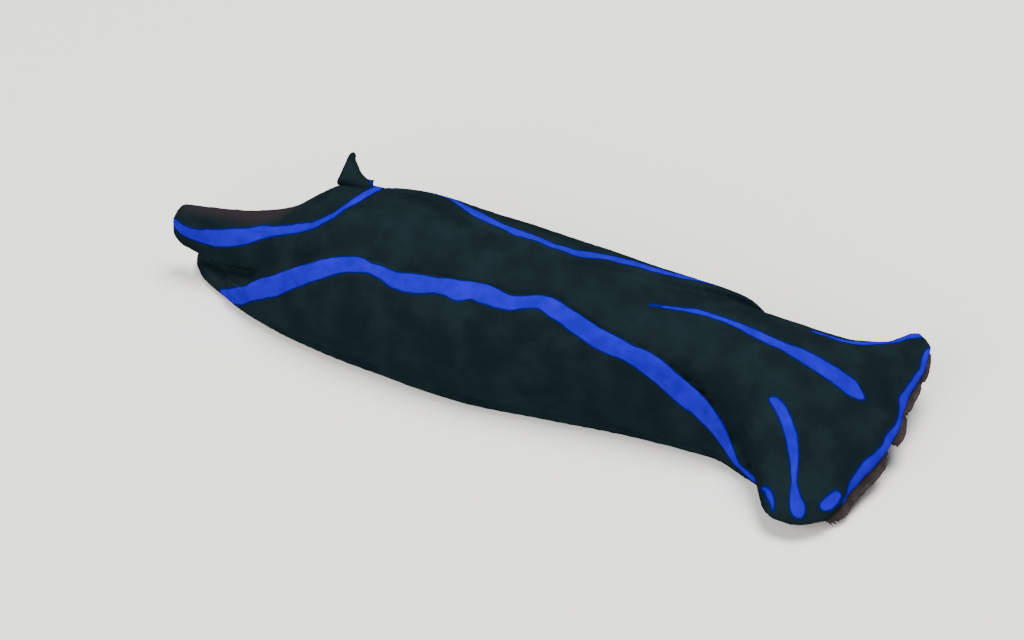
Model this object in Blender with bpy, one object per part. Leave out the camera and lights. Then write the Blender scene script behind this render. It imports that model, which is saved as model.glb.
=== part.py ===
"""Blue velvet headshield slug, crawling on a flat surface, at life size.

The animal is drawn first in a straight body space, in millimetres: s runs from tail to head,
q to the animal's left and z up. The pose then bends it sideways and sweeps the head's front
back towards its corners. Each named part of the body is one closed solid.
"""

import bmesh
import bpy
import numpy as np

MM = 0.001

# Gap between neighbouring parts, and the radius of the rounded free edge of a flap or shield
GAP = 0.3
FREE_EDGE = 0.9

# Main sizes of the animal
FOOT_TAIL_S = -25.9
FOOT_FRONT_S = 29.0
HEAD_FRONT_S = 31.6
HEAD_HALF_WIDTH = 10.1
HEAD_SWEEP_RIGHT = 2.3
HEAD_SWEEP_LEFT = 2.0
SWEEP_START_S = 21.5
SOLE_THICKNESS = 1.2
SHIELD_THICKNESS = 1.25
SHIELD_EDGE_THICKNESS = 0.6
FLAP_THICKNESS = 1.05
SHIELD_SEAM_S = -1.0
LOBE_ROOT_S = -12.3
LOBE_ROOT_THICKNESS = 1.3
LOBE_TIP_THICKNESS = 0.8
LOBE_BULGE = 0.14
HEAD_ROOT_S = 19.0
TRUNK_TAIL_S = -22.4
MIDDLE_SHIFT = (-2.19, 0.92)
TRUNK_BASE_Z = SOLE_THICKNESS + GAP
FLAP_BASE_Z = TRUNK_BASE_Z + 0.2
TRUNK_LEDGE_Z = 2.6
TRUNK_SHOULDER_Z = 3.0
TAIL_LEDGE_Z = 1.9
FLAP_CLEARANCE = GAP + 0.15
HEAD_CLEARANCE = 0.6
HEAD_INSIDE_SHIELD = 1.9
HEAD_INSIDE_SOLE = 0.3
HEAD_BEHIND_FRONT = 1.9
SOLE_EDGE = 0.5

# How finely the surfaces are divided
SOLE_ROWS = 34
FLAP_ROWS = 32
FLAP_COLUMNS = 10
SHIELD_COLUMNS = 21
HEAD_SHIELD_ROWS = 30
POSTERIOR_SHIELD_ROWS = 12
TRUNK_ROWS = 20
TAIL_ROWS = 8
HEAD_ROWS = 14
CORE_COLUMNS = 17
LOBE_ROWS = 15
LOBE_COLUMNS = 9

# Profiles along the body: pairs of (s, value)
CENTRE_LINE = [(-28, 0.6), (-15, 1.0), (-9, 1.0), (-2, 0.6), (13, 0.3), (19, 0.1), (24, -0.2), (32, -1.2)]
BODY_HALF_WIDTH_RIGHT = [(-25.8, 0.9), (-22.7, 3.3), (-19.5, 4.9), (-14.4, 6.35), (-8, 7.2),
                         (-1, 7.35), (6, 6.6), (13, 5.75), (19, 5.45), (22, 6.3), (24, 6.7)]
BODY_HALF_WIDTH_LEFT = [(-25.8, 0.5), (-22.7, 2.9), (-19.5, 4.8), (-14.4, 6.5), (-8, 7.25), (-1, 7.15),
                        (6, 6.6), (13, 6.2), (17, 6.4), (20, 6.3), (24, 5.9)]
BODY_HEIGHT = [(-25.8, 1.0), (-22, 4.0), (-18, 7.2), (-12, 9.8), (-8, 10.3), (-2, 10.1), (13, 9.4),
               (19, 8.8), (24, 7.6)]
BODY_SQUARENESS = [(-26, 2.2), (-8, 2.6), (13, 3.0), (19, 3.0), (24, 2.4)]
CROWN_HEIGHT = [(-12.3, 10.1), (-8, 10.35), (-2, 10.0), (6, 9.3), (13, 9.0), (17, 8.8), (20.3, 8.2),
                (23.4, 7.5), (25.7, 6.7), (28.4, 5.2), (31.6, 3.0)]
CROWN_HALF_WIDTH_RIGHT = [(-12.3, 4.4), (-10, 4.85), (-8, 5.3), (-1, 5.55), (3, 5.6), (6, 5.5), (10, 5.2),
                          (13, 4.8), (17.5, 4.3), (20.5, 4.9), (22.5, 6.7), (24.5, 8.7), (26.3, 9.9),
                          (28, 10.3), (29.6, 10.3), (30.5, 9.95), (31.1, 9.3), (31.6, 8.1)]
CROWN_HALF_WIDTH_LEFT = [(-12.3, 4.9), (-10, 5.2), (-8, 5.4), (-1, 5.55), (3, 5.6), (10, 5.4), (13, 5.2),
                         (17.5, 5.15), (20.5, 5.35), (22, 5.6), (25, 5.8), (27, 6.7), (28, 7.3), (29, 8.3),
                         (29.8, 9.3), (30.5, 9.7), (31.1, 9.4), (31.6, 8.5)]
CROWN_SQUARENESS = [(-12.3, 2.8), (-8, 2.4), (-2, 2.2), (13, 2.3), (19, 2.3), (24, 2.1), (31.3, 2.2)]
RIM_HEIGHT_RIGHT = [(-12.3, 4.2), (-8, 3.2), (16, 3.0), (19, 2.6), (22.5, 1.9), (25, 1.1), (31.6, 1.4)]
RIM_HEIGHT_LEFT = [(-12.3, 4.2), (-8, 3.2), (16, 3.2), (20, 3.4), (23, 3.6), (26, 4.1), (29, 4.75),
                   (31.6, 4.95)]
FLAP_STRIPE_HEIGHT = [(-22.4, 0.6), (-21.1, 1.2), (-19.3, 2.75), (-16.9, 4.5), (-14.0, 6.6),
                      (-12.1, 7.75), (-10.1, 8.4), (-6.3, 8.5), (-3.2, 8.85), (0.3, 9.1), (2.5, 8.95),
                      (4.9, 9.2), (7.1, 8.75), (9.5, 8.0), (11.9, 7.5), (14.35, 6.7), (16.8, 5.4),
                      (18.5, 4.2), (20.2, 2.2), (21.55, 0.7), (22.4, 0.5)]
FLAP_MARGIN_ABOVE_STRIPE = [(-22.4, 0.3), (-20.5, 0.7), (-18, 1.0), (17, 1.0), (20, 0.7), (22.4, 0.3)]
# How much further over the back the left flap reaches than the right one
LEFT_FLAP_REACH = [(-12, 0), (-10, 0.1), (-8, 0.6), (-6.5, 1.2), (-5, 1.8), (-3.2, 2.1), (1, 2.3),
                   (3, 2.5), (4.8, 1.95), (6.8, 1.9), (9, 2.2), (12, 2.5), (15, 2.5), (17, 2.2),
                   (19, 1.1), (21, 0)]
FLAP_TAIL_S = -22.4
FLAP_FRONT_S = 22.4
FLAP_MARGIN_THINNING = 0.3
SOLE_HALF_WIDTH_RIGHT = [(-25.9, 0.6), (-24.8, 1.9), (-22.7, 3.2), (-19.5, 4.8), (-14.4, 6.25),
                         (-8, 7.1), (-1, 7.25), (6, 6.5), (13, 5.65), (19, 5.35), (22, 6.2), (24, 6.8),
                         (26, 7.6), (28, 7.8), (29.0, 7.2)]
SOLE_HALF_WIDTH_LEFT = [(-25.6, 0.4), (-24.6, 1.5), (-22.7, 2.8), (-19.5, 4.7), (-14.4, 6.4), (-8, 7.15),
                        (-1, 7.05), (6, 6.5), (13, 6.1), (17, 6.1), (20, 5.8), (24, 5.6), (28, 6.5),
                        (29.0, 6.4)]
TRUNK_TAIL_HEIGHT = [(-22.4, 2.0), (-20.5, 2.2), (-18, 3.4), (-15.5, 4.8), (-13.5, 6.6), (-12.6, 8.0)]
TRUNK_TAIL_HALF_WIDTH = [(-22.4, 1.3), (-20.5, 1.9), (-18, 3.0), (-15.5, 3.4), (-13.5, 3.1), (-12.6, 2.9)]

# The head's front margin from right to left: pairs of (q, how far it lies ahead of HEAD_FRONT_S)
FRONT_MARGIN_START_S = 28.5
FRONT_MARGIN = [(-8.5, -0.2), (-6.6, -0.12), (-5.4, -0.45), (-4, -0.45), (-2.4, -0.25), (-1.1, -0.15),
                (1.3, -0.2), (2.6, -0.45), (3.9, -0.5), (5.5, -0.25), (6.8, 0), (8.3, 0)]

# The two tail lobes: margins as points (s, q, z) from root to tip
RIGHT_LOBE_INNER = [(-12.3, 2.9, 9.5), (-14.3, 2.5, 9.7), (-15.6, 1.9, 9.1), (-17.4, 1.0, 8.0),
                    (-21.8, 0.0, 6.9), (-26.3, -0.6, 6.3)]
RIGHT_LOBE_OUTER = [(-12.3, -4.4, 5.2), (-14.5, -4.0, 4.5), (-17.0, -3.4, 3.7), (-20.0, -2.6, 2.6),
                    (-24.2, -1.5, 1.75), (-26.5, -0.95, 1.75)]
RIGHT_LOBE_TIP = (-27.7, -0.85, 4.0)
LEFT_LOBE_INNER = [(-12.3, 3.1, 9.45), (-14.1, 3.1, 9.1), (-15.5, 3.1, 8.65), (-15.75, 4.5, 8.75),
                   (-15.85, 5.9, 9.0)]
LEFT_LOBE_OUTER = [(-12.3, 4.4, 7.8), (-12.35, 4.35, 8.55), (-13.2, 4.75, 8.8), (-14.05, 5.4, 8.95),
                   (-14.75, 6.25, 9.1)]
LEFT_LOBE_TIP = (-15.45, 6.95, 9.2)

# The pads of feeling bristles under the head's front margin: each lobe from one q to another
RIGHT_PAD_LOBES = [(-7.9, -0.75)]
LEFT_PAD_LOBES = [(0.1, 3.15), (2.95, 6.1), (5.9, 9.0)]
PAD_BACK_S = 30.0
PAD_NOTCH_S = 31.2
PAD_FRONT_S = 31.8
PAD_THICKNESS = 0.5
PAD_LOBE_ROUNDNESS = 2.6
PAD_ROWS = 7
PAD_COLUMN_WIDTH = 0.35
BRISTLE_SPACING = 0.4
BRISTLE_LENGTH = 0.2
BRISTLE_RADIUS = 0.1
BRISTLE_ROOT_DEPTH = 0.45
BRISTLE_TIP_RADIUS = 0.04
LIP_CENTRE = (29.7, 0.1, 0.95)
LIP_RADII = (1.3, 0.75, 0.7)
MOUTH_SLIT_WIDTH = 0.3
MOUTH_SLIT_HEIGHT = 0.95
MOUTH_SLIT_BACK = 0.6

# The plume of gill leaflets between the right flap and the tail lobe
GILL_STEM_CENTRE = (-16.4, -3.6, 2.7)
GILL_STEM_RADII = (1.9, 0.45, 0.5)
GILL_LEAFLETS = 7
GILL_LEAFLET_RADII = (0.16, 0.95, 0.3)
GILL_LEAFLET_SHRINK = 0.4

VELVET = (0.012, 0.014, 0.018)
PAD_BROWN = (0.03, 0.02, 0.016)
GILL_BROWN = (0.03, 0.025, 0.025)
SKIN_ROUGHNESS = 0.85


def smooth_step(low, high, x):
    t = np.clip((np.asarray(x, float) - low) / (high - low), 0, 1)
    return t * t * (3 - 2 * t)


def profile(pairs, s):
    """Smooth curve through (s, value) pairs that never overshoots between them."""
    x, y = np.array(pairs, float).T
    s = np.clip(np.asarray(s, float), x[0], x[-1])
    step = np.diff(x)
    slope = np.diff(y) / step
    tangent = np.zeros_like(y)
    same_way = slope[:-1] * slope[1:] > 0
    w1 = 2 * step[1:] + step[:-1]
    w2 = step[1:] + 2 * step[:-1]
    with np.errstate(divide="ignore", invalid="ignore"):
        mean = (w1 + w2) / (w1 / slope[:-1] + w2 / slope[1:])
    tangent[1:-1] = np.where(same_way, mean, 0)
    tangent[0], tangent[-1] = slope[0], slope[-1]
    i = np.clip(np.searchsorted(x, s) - 1, 0, len(step) - 1)
    t = (s - x[i]) / step[i]
    return (
        y[i] * (1 + 2 * t) * (1 - t) ** 2
        + tangent[i] * step[i] * t * (1 - t) ** 2
        + y[i + 1] * t * t * (3 - 2 * t)
        + tangent[i + 1] * step[i] * t * t * (t - 1)
    )


def through(points, t):
    """Smooth curve through space points, t from 0 to 1 by their number."""
    points = np.array(points, float)
    knots = np.linspace(0, 1, len(points))
    return np.stack([profile(list(zip(knots, points[:, k])), t) for k in range(3)], -1)


def posed(points):
    """Body space to the model's own space: sweeps the head's corners back and bends the body."""
    s, q, z = np.moveaxis(np.asarray(points, float), -1, 0)
    most = np.where(q < 0, HEAD_SWEEP_RIGHT, HEAD_SWEEP_LEFT)
    s = s - most * smooth_step(SWEEP_START_S, HEAD_FRONT_S, s) * (q / HEAD_HALF_WIDTH) ** 2
    s = s + profile(FRONT_MARGIN, q) * smooth_step(FRONT_MARGIN_START_S, HEAD_FRONT_S, s)
    bend = profile(CENTRE_LINE, s + 0.5) - profile(CENTRE_LINE, s - 0.5)
    length = np.sqrt(1 + bend**2)
    x = s - bend / length * q + MIDDLE_SHIFT[0]
    y = profile(CENTRE_LINE, s) + q / length + MIDDLE_SHIFT[1]
    return np.stack([x, y, z], -1)


def arch(right_width, left_width, top, right_rim, left_rim, squareness, count):
    """Cross-section from the right rim over the top to the left rim, evenly spaced along itself."""
    a = np.linspace(0, np.pi, 241)
    unit = -np.sign(np.cos(a)) * np.abs(np.cos(a)) ** (2 / squareness)
    q = unit * np.where(unit < 0, right_width, left_width)
    middle = (right_rim + left_rim) / 2
    rim = middle + (left_rim - right_rim) / 2 * unit
    z = rim + (top - middle) * np.abs(np.sin(a)) ** (2 / squareness)
    run = np.concatenate([[0], np.cumsum(np.hypot(np.diff(q), np.diff(z)))])
    even = np.linspace(0, run[-1], count)
    return np.stack([np.interp(even, run, q), np.interp(even, run, z)], -1)


def inset(curve, depth):
    """Moves an open (q, z) curve that runs from right rim to left rim inwards."""
    step = np.gradient(curve, axis=0)
    step /= np.linalg.norm(step, axis=1, keepdims=True) + 1e-9
    inward = np.stack([step[:, 1], -step[:, 0]], -1)
    return curve + inward * np.asarray(depth)[..., None]


def crown_curve(s, count, depth=0.0):
    """The back of the animal at s: the surface of both shields, or depth below it."""
    curve = arch(
        profile(CROWN_HALF_WIDTH_RIGHT, s),
        profile(CROWN_HALF_WIDTH_LEFT, s),
        profile(CROWN_HEIGHT, s),
        profile(RIM_HEIGHT_RIGHT, s),
        profile(RIM_HEIGHT_LEFT, s),
        profile(CROWN_SQUARENESS, s),
        count,
    )
    return inset(curve, np.full(count, depth)) if depth else curve


def flank_curve(s, side, low, high, above, count):
    """The outer face of a side flap at s, from height low to high and a length above further on.
    Side is -1 right or +1 left."""
    width = profile(BODY_HALF_WIDTH_RIGHT if side < 0 else BODY_HALF_WIDTH_LEFT, s)
    curve = arch(width, width, profile(BODY_HEIGHT, s), 0, 0, profile(BODY_SQUARENESS, s), 601)
    half = curve[:301]
    run = np.concatenate([[0], np.cumsum(np.hypot(*np.diff(half, axis=0).T))])
    start, end = np.interp([low, high], half[:, 1], run)
    even = np.linspace(start, end + above, count)
    q = np.interp(even, run, half[:, 0])
    z = np.interp(even, run, half[:, 1])
    return np.stack([-side * q, z], -1)


def grid_faces(rows, columns, first=0, wrap=False):
    """Quads of a grid of points numbered row by row."""
    faces = []
    for r in range(rows - 1):
        for c in range(columns if wrap else columns - 1):
            d = (c + 1) % columns
            faces.append((first + r * columns + c, first + r * columns + d,
                          first + (r + 1) * columns + d, first + (r + 1) * columns + c))
    return faces


def loft(sections):
    """Closed solid through closed sections, each an array of body-space points."""
    rows, columns, _ = sections.shape
    points = sections.reshape(-1, 3)
    faces = grid_faces(rows, columns, wrap=True)
    ends = np.stack([sections[0].mean(0), sections[-1].mean(0)])
    for centre, row in ((len(points), 0), (len(points) + 1, rows - 1)):
        for c in range(columns):
            faces.append((row * columns + c, row * columns + (c + 1) % columns, centre))
    return np.vstack([points, ends]), faces


def rounded(distance, radius):
    """Share of full thickness at a distance from a free edge, as in a half-round edge."""
    x = np.clip(distance / radius, 0, 1)
    return np.sqrt(1 - (1 - x) ** 2)


def thick_sheet(outer, thickness, free):
    """Closed solid under a grid of outer-face points. Free says which borders thin to a rounded edge:
    first row, last row, first column, last column."""
    rows, columns, _ = outer.shape
    along_rows = np.gradient(outer, axis=0)
    along_columns = np.gradient(outer, axis=1)
    normal = np.cross(along_rows, along_columns)
    normal /= np.linalg.norm(normal, axis=-1, keepdims=True) + 1e-9
    row_run = np.zeros((rows, columns))
    row_run[1:] = np.cumsum(np.linalg.norm(np.diff(outer, axis=0), axis=-1), 0)
    column_run = np.zeros((rows, columns))
    column_run[:, 1:] = np.cumsum(np.linalg.norm(np.diff(outer, axis=1), axis=-1), 1)
    share = np.ones((rows, columns))
    distances = (row_run, row_run[-1:] - row_run, column_run, column_run[:, -1:] - column_run)
    for is_free, distance in zip(free, distances):
        if is_free:
            share = np.minimum(share, rounded(distance, FREE_EDGE))
    half = np.asarray(thickness) / 2
    middle = outer - normal * half[..., None]
    top = middle + normal * (half * share)[..., None]
    bottom = middle - normal * (half * share)[..., None]
    points = np.vstack([top.reshape(-1, 3), bottom.reshape(-1, 3)])
    below = rows * columns
    faces = grid_faces(rows, columns)
    faces += [face[::-1] for face in grid_faces(rows, columns, below)]
    border = [(0, c) for c in range(columns)] + [(r, columns - 1) for r in range(1, rows)]
    border += [(rows - 1, c) for c in range(columns - 2, -1, -1)] + [(r, 0) for r in range(rows - 2, 0, -1)]
    numbers = [r * columns + c for r, c in border]
    open_edge = np.linalg.norm(top - bottom, axis=-1).ravel() > 1e-6
    for a, b in zip(numbers, numbers[1:] + numbers[:1]):
        if open_edge[a] or open_edge[b]:
            faces.append((b, a, a + below, b + below))
    return points, faces


def stations(start, end, count, ease=0.0):
    """Places along the body from start to end, closer together near both ends as ease goes to 1."""
    t = np.linspace(0, 1, count)
    eased = (1 - np.cos(t * np.pi)) / 2
    return start + (end - start) * (t * (1 - ease) + eased * ease)


def with_s(s, curve):
    return np.column_stack([np.full(len(curve), s), curve])


def foot():
    """The creeping sole: flat below, round-edged above."""
    sections = []
    for s in stations(FOOT_TAIL_S, FOOT_FRONT_S, SOLE_ROWS, 0.5):
        halves = []
        for side, widths in ((-1, SOLE_HALF_WIDTH_RIGHT), (1, SOLE_HALF_WIDTH_LEFT)):
            w = profile(widths, s)
            e = min(SOLE_EDGE, w * 0.4)
            edge = [(w - e * 0.4, 0), (w, 0.45), (w - e * 0.3, 0.95), (w - e, SOLE_THICKNESS)]
            halves.append([(side * q, z) for q, z in edge])
        sections.append(with_s(s, np.array(halves[0] + halves[1][::-1])))
    return loft(np.array(sections))


def parapodium(side):
    """A side flap: grows from the edge of the sole and clasps the body, with a free upper margin."""
    rows = []
    low = FLAP_BASE_Z
    for s in stations(FLAP_TAIL_S, FLAP_FRONT_S, FLAP_ROWS, 0.5):
        high = max(profile(FLAP_STRIPE_HEIGHT, s), low)
        above = profile(FLAP_MARGIN_ABOVE_STRIPE, s) + (profile(LEFT_FLAP_REACH, s) if side > 0 else 0)
        rows.append(with_s(s, flank_curve(s, side, low, high, above, FLAP_COLUMNS)))
    outer = np.array(rows)
    up = np.linspace(0, 1, FLAP_COLUMNS)
    if side > 0:
        outer = outer[:, ::-1]
        up = up[::-1]
    thickness = FLAP_THICKNESS - FLAP_MARGIN_THINNING * smooth_step(0.5, 1, up) * np.ones((FLAP_ROWS, 1))
    free = (True, True, side > 0, side < 0)
    return thick_sheet(outer, thickness, free)


def shield(start, end, count, free_ends):
    """A shield of the back from s start to s end, with free side edges."""
    places = stations(start, end, count, 0.4)
    outer = np.array([with_s(s, crown_curve(s, SHIELD_COLUMNS)) for s in places])
    thickness = shield_thickness(places)[:, None] * np.ones(SHIELD_COLUMNS)
    return thick_sheet(outer, thickness, (free_ends, free_ends, True, True))


def shield_thickness(s):
    """The head's front margin is thinner than the rest of the shields."""
    return SHIELD_THICKNESS + (SHIELD_EDGE_THICKNESS - SHIELD_THICKNESS) * smooth_step(22, 30, s)


def under_shield(s, count, lowest):
    """The line a gap below the shields at s, where it is above the height lowest."""
    line = crown_curve(s, 61, shield_thickness(s) + GAP)
    line = line[line[:, 1] > lowest]
    even = np.linspace(0, len(line) - 1, count)
    return np.stack([np.interp(even, range(len(line)), line[:, k]) for k in (0, 1)], -1)


def trunk_section(s):
    """The soft body under the shields, with a ledge on each side that fills the fold of the flap."""
    top = under_shield(s, CORE_COLUMNS - 2, TRUNK_SHOULDER_Z)
    inside = FLAP_THICKNESS + FLAP_CLEARANCE
    right_reach = inside - profile(BODY_HALF_WIDTH_RIGHT, s)
    left_reach = profile(BODY_HALF_WIDTH_LEFT, s) - inside
    right = [(right_reach, TRUNK_BASE_Z), (right_reach, TRUNK_LEDGE_Z), (top[0, 0], TRUNK_LEDGE_Z)]
    left = [(top[-1, 0], TRUNK_LEDGE_Z), (left_reach, TRUNK_LEDGE_Z), (left_reach, TRUNK_BASE_Z)]
    return with_s(s, np.vstack([right, top, left, [(0, TRUNK_BASE_Z)]]))


def tail_section(s):
    """The low end of the trunk, behind the shields and under the tail lobes."""
    w = profile(TRUNK_TAIL_HALF_WIDTH, s)
    top = arch(w, w, profile(TRUNK_TAIL_HEIGHT, s), TAIL_LEDGE_Z, TAIL_LEDGE_Z, 2.2, CORE_COLUMNS)[1:-1]
    reach = max(w, profile(BODY_HALF_WIDTH_RIGHT, s) - FLAP_THICKNESS - FLAP_CLEARANCE)
    right = [(-reach, TRUNK_BASE_Z), (-reach, TAIL_LEDGE_Z), (-w, TAIL_LEDGE_Z)]
    left = [(-q, z) for q, z in reversed(right)]
    return with_s(s, np.vstack([right, top, left, [(0, TRUNK_BASE_Z)]]))


def trunk():
    tail = [tail_section(s) for s in stations(TRUNK_TAIL_S, LOBE_ROOT_S - GAP, TAIL_ROWS)]
    body = [trunk_section(s) for s in stations(LOBE_ROOT_S + 2 * GAP, HEAD_ROOT_S - GAP, TRUNK_ROWS)]
    return loft(np.array(tail + body))


def head_reach(sole, crown, s):
    """How far the head reaches sideways: inside both the sole's and the shield's edge."""
    return min(profile(sole, s) - HEAD_INSIDE_SOLE, profile(crown, s) - HEAD_INSIDE_SHIELD)


def head():
    """The snout between the sole and the front of the head shield."""
    sections = []
    for s in stations(HEAD_ROOT_S, HEAD_FRONT_S - HEAD_BEHIND_FRONT, HEAD_ROWS):
        line = crown_curve(s, 61, shield_thickness(s) + HEAD_CLEARANCE)
        right = head_reach(SOLE_HALF_WIDTH_RIGHT, CROWN_HALF_WIDTH_RIGHT, s)
        left = head_reach(SOLE_HALF_WIDTH_LEFT, CROWN_HALF_WIDTH_LEFT, s)
        line = line[(np.gradient(line[:, 0]) > 0.01) & (line[:, 1] > TRUNK_BASE_Z + GAP)]
        across = np.linspace(max(-right, line[0, 0]), min(left, line[-1, 0]), CORE_COLUMNS)
        top = np.stack([across, np.interp(across, line[:, 0], line[:, 1])], -1)
        base = [(q * 0.97, TRUNK_BASE_Z) for q in (across[-1], 0, across[0])]
        sections.append(with_s(s, np.vstack([top, base])))
    return loft(np.array(sections))


def root_line(outer_root, inner_root, columns):
    """The crown's section at the root of the lobes, from the lobe's outer root point to its inner one."""
    line = crown_curve(LOBE_ROOT_S, 401)
    start = np.argmin(np.abs(line[:, 0] - outer_root[1]) + np.abs(line[:, 1] - outer_root[2]))
    end = np.argmin(np.abs(line[:, 0] - inner_root[1]))
    pick = np.linspace(start, end, columns).round().astype(int)
    return with_s(LOBE_ROOT_S - GAP, line[pick])


def lobe(inner, outer, tip):
    """A tail lobe: a blade between its two margins that rounds off into its tip."""
    t = np.linspace(0, 1, LOBE_ROWS)
    a, b = through(outer, t), through(inner, t)
    across = np.linspace(0, 1, LOBE_COLUMNS)[:, None]
    root = root_line(outer[0], inner[0], LOBE_COLUMNS)
    root_rise = root - (root[0] + (root[-1] - root[0]) * across)
    a[0], b[0] = root[0], root[-1]
    side = -1 if inner[0][1] > outer[0][1] else 1
    grid = []
    for k in range(LOBE_ROWS):
        chord = b[k] - a[k]
        width = np.linalg.norm(chord)
        before, after = max(k - 1, 0), min(k + 1, LOBE_ROWS - 1)
        along = b[after] + a[after] - b[before] - a[before]
        out = np.cross(along, chord) * side
        out /= np.linalg.norm(out)
        rise = out * (np.sin(across * np.pi) * LOBE_BULGE * width)
        share = smooth_step(0, 0.35, t[k])
        grid.append(a[k] + chord * across + root_rise * (1 - share) + rise * share)
    last, end = grid[-1], np.array(tip, float)
    middle = last.mean(0)
    for share in (0.45, 0.75, 0.93):
        grid.append(middle + (last - middle) * np.sqrt(1 - share**2) + (end - middle) * share)
    outer_face = np.array(grid)
    if side < 0:
        outer_face = outer_face[:, ::-1]
    thinning = smooth_step(0, len(grid) - 1, np.arange(len(grid)))
    thickness = LOBE_ROOT_THICKNESS + (LOBE_TIP_THICKNESS - LOBE_ROOT_THICKNESS) * thinning
    thickness = thickness[:, None] * np.ones(LOBE_COLUMNS)
    return thick_sheet(outer_face, thickness, (False, True, True, True))


def ellipsoid(centre, radii, rings=9, around=16):
    """Closed ellipsoid of body-space points, as sections along q."""
    sections = []
    for a in np.linspace(0.06, np.pi - 0.06, rings):
        turn = np.linspace(0, 2 * np.pi, around, endpoint=False)
        s = centre[0] + radii[0] * np.sin(a) * np.cos(turn)
        z = centre[2] + radii[2] * np.sin(a) * np.sin(turn)
        sections.append(np.stack([s, np.full(around, centre[1] - radii[1] * np.cos(a)), z], -1))
    return loft(np.array(sections))


def solid(points, faces):
    """Object in body space, faces out, for joining and cutting before the pose."""
    mesh = bpy.data.meshes.new("solid")
    mesh.from_pydata(np.asarray(points).tolist(), [], faces)
    work = bmesh.new()
    work.from_mesh(mesh)
    bmesh.ops.remove_doubles(work, verts=work.verts, dist=1e-5)
    bmesh.ops.triangulate(work, faces=work.faces, quad_method="FIXED")
    bmesh.ops.recalc_face_normals(work, faces=work.faces)
    if work.calc_volume(signed=True) < 0:
        bmesh.ops.reverse_faces(work, faces=work.faces)
    work.to_mesh(mesh)
    work.free()
    made = bpy.data.objects.new("solid", mesh)
    bpy.context.scene.collection.objects.link(made)
    return made


def inflated(source, amount):
    """Copy of a solid with its surface moved outwards."""
    made = source.copy()
    made.data = source.data.copy()
    bpy.context.scene.collection.objects.link(made)
    work = bmesh.new()
    work.from_mesh(made.data)
    work.normal_update()
    moves = [v.normal.copy() * (amount * v.calc_shell_factor()) for v in work.verts]
    for v, move in zip(work.verts, moves):
        v.co += move.normalized() * min(move.length, amount * 1.6)
    work.to_mesh(made.data)
    work.free()
    return made


def combine(target, tools, operation):
    """Applies one Boolean of all tools to the target and removes the tools."""
    group = bpy.data.collections.new("tools")
    for tool in tools:
        group.objects.link(tool)
    step = target.modifiers.new("combine", "BOOLEAN")
    step.operation = operation
    step.operand_type = "COLLECTION"
    step.collection = group
    step.solver = "EXACT"
    graph = bpy.context.evaluated_depsgraph_get()
    mesh = bpy.data.meshes.new_from_object(target.evaluated_get(graph))
    target.modifiers.remove(step)
    target.data = mesh
    for tool in tools:
        bpy.data.objects.remove(tool)
    bpy.data.collections.remove(group)
    keep_largest(target)


def keep_largest(target):
    """Leaves only the largest closed surface of a solid."""
    work = bmesh.new()
    work.from_mesh(target.data)
    bmesh.ops.remove_doubles(work, verts=work.verts, dist=1e-4)
    bmesh.ops.dissolve_degenerate(work, edges=work.edges, dist=1e-4)
    bmesh.ops.triangulate(work, faces=work.faces)
    left = set(work.faces)
    islands = []
    while left:
        first = left.pop()
        island, queue = {first}, [first]
        while queue:
            for edge in queue.pop().edges:
                for face in edge.link_faces:
                    if face in left and len(edge.link_faces) == 2:
                        left.remove(face)
                        island.add(face)
                        queue.append(face)
        islands.append(island)
    islands.sort(key=lambda island: sum(face.calc_area() for face in island))
    extra = [face for island in islands[:-1] for face in island]
    bmesh.ops.delete(work, geom=extra, context="FACES")
    loose = [vertex for vertex in work.verts if not vertex.link_faces]
    bmesh.ops.delete(work, geom=loose, context="VERTS")
    work.to_mesh(target.data)
    work.free()


def cut_by(target, neighbours):
    """Cuts a solid back so that it stays a gap away from its neighbours."""
    combine(target, [inflated(each, GAP) for each in neighbours], "DIFFERENCE")


def bristle(root, direction, length):
    """A short tapering bristle, its root sunk into the pad."""
    direction = np.array(direction, float) / np.linalg.norm(direction)
    side = np.cross(direction, (0, 0, 1.0))
    side /= np.linalg.norm(side)
    other = np.cross(direction, side)
    turn = np.linspace(0, 2 * np.pi, 4, endpoint=False)[:, None]
    sections = []
    widths = (
        (-BRISTLE_ROOT_DEPTH, BRISTLE_RADIUS),
        (0.45 * length, BRISTLE_RADIUS * 0.75),
        (length, BRISTLE_TIP_RADIUS),
    )
    for along, radius in widths:
        ring = np.cos(turn) * side + np.sin(turn) * other
        sections.append(np.array(root) + direction * along + ring * radius)
    return loft(np.array(sections))


def pad_edge(lobes, q):
    """Front edge of a pad at q: a row of rounded lobes with notches between them."""
    share = np.zeros_like(q)
    for low, high in lobes:
        x = np.abs(2 * (q - low) / (high - low) - 1)
        share = np.maximum(share, (1 - np.minimum(x, 1) ** PAD_LOBE_ROUNDNESS) ** (1 / PAD_LOBE_ROUNDNESS))
    return PAD_NOTCH_S + (PAD_FRONT_S - PAD_NOTCH_S) * share


def pad_height(s, q):
    """Top of a pad: a gap below the head shield, but with room for the pad above the ground."""
    line = crown_curve(s, 241)
    line = line[np.gradient(line[:, 0]) > 0.001]
    below = np.interp(q, line[:, 0], line[:, 1]) - SHIELD_EDGE_THICKNESS - GAP
    return np.maximum(below, PAD_THICKNESS + 0.1)


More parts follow.
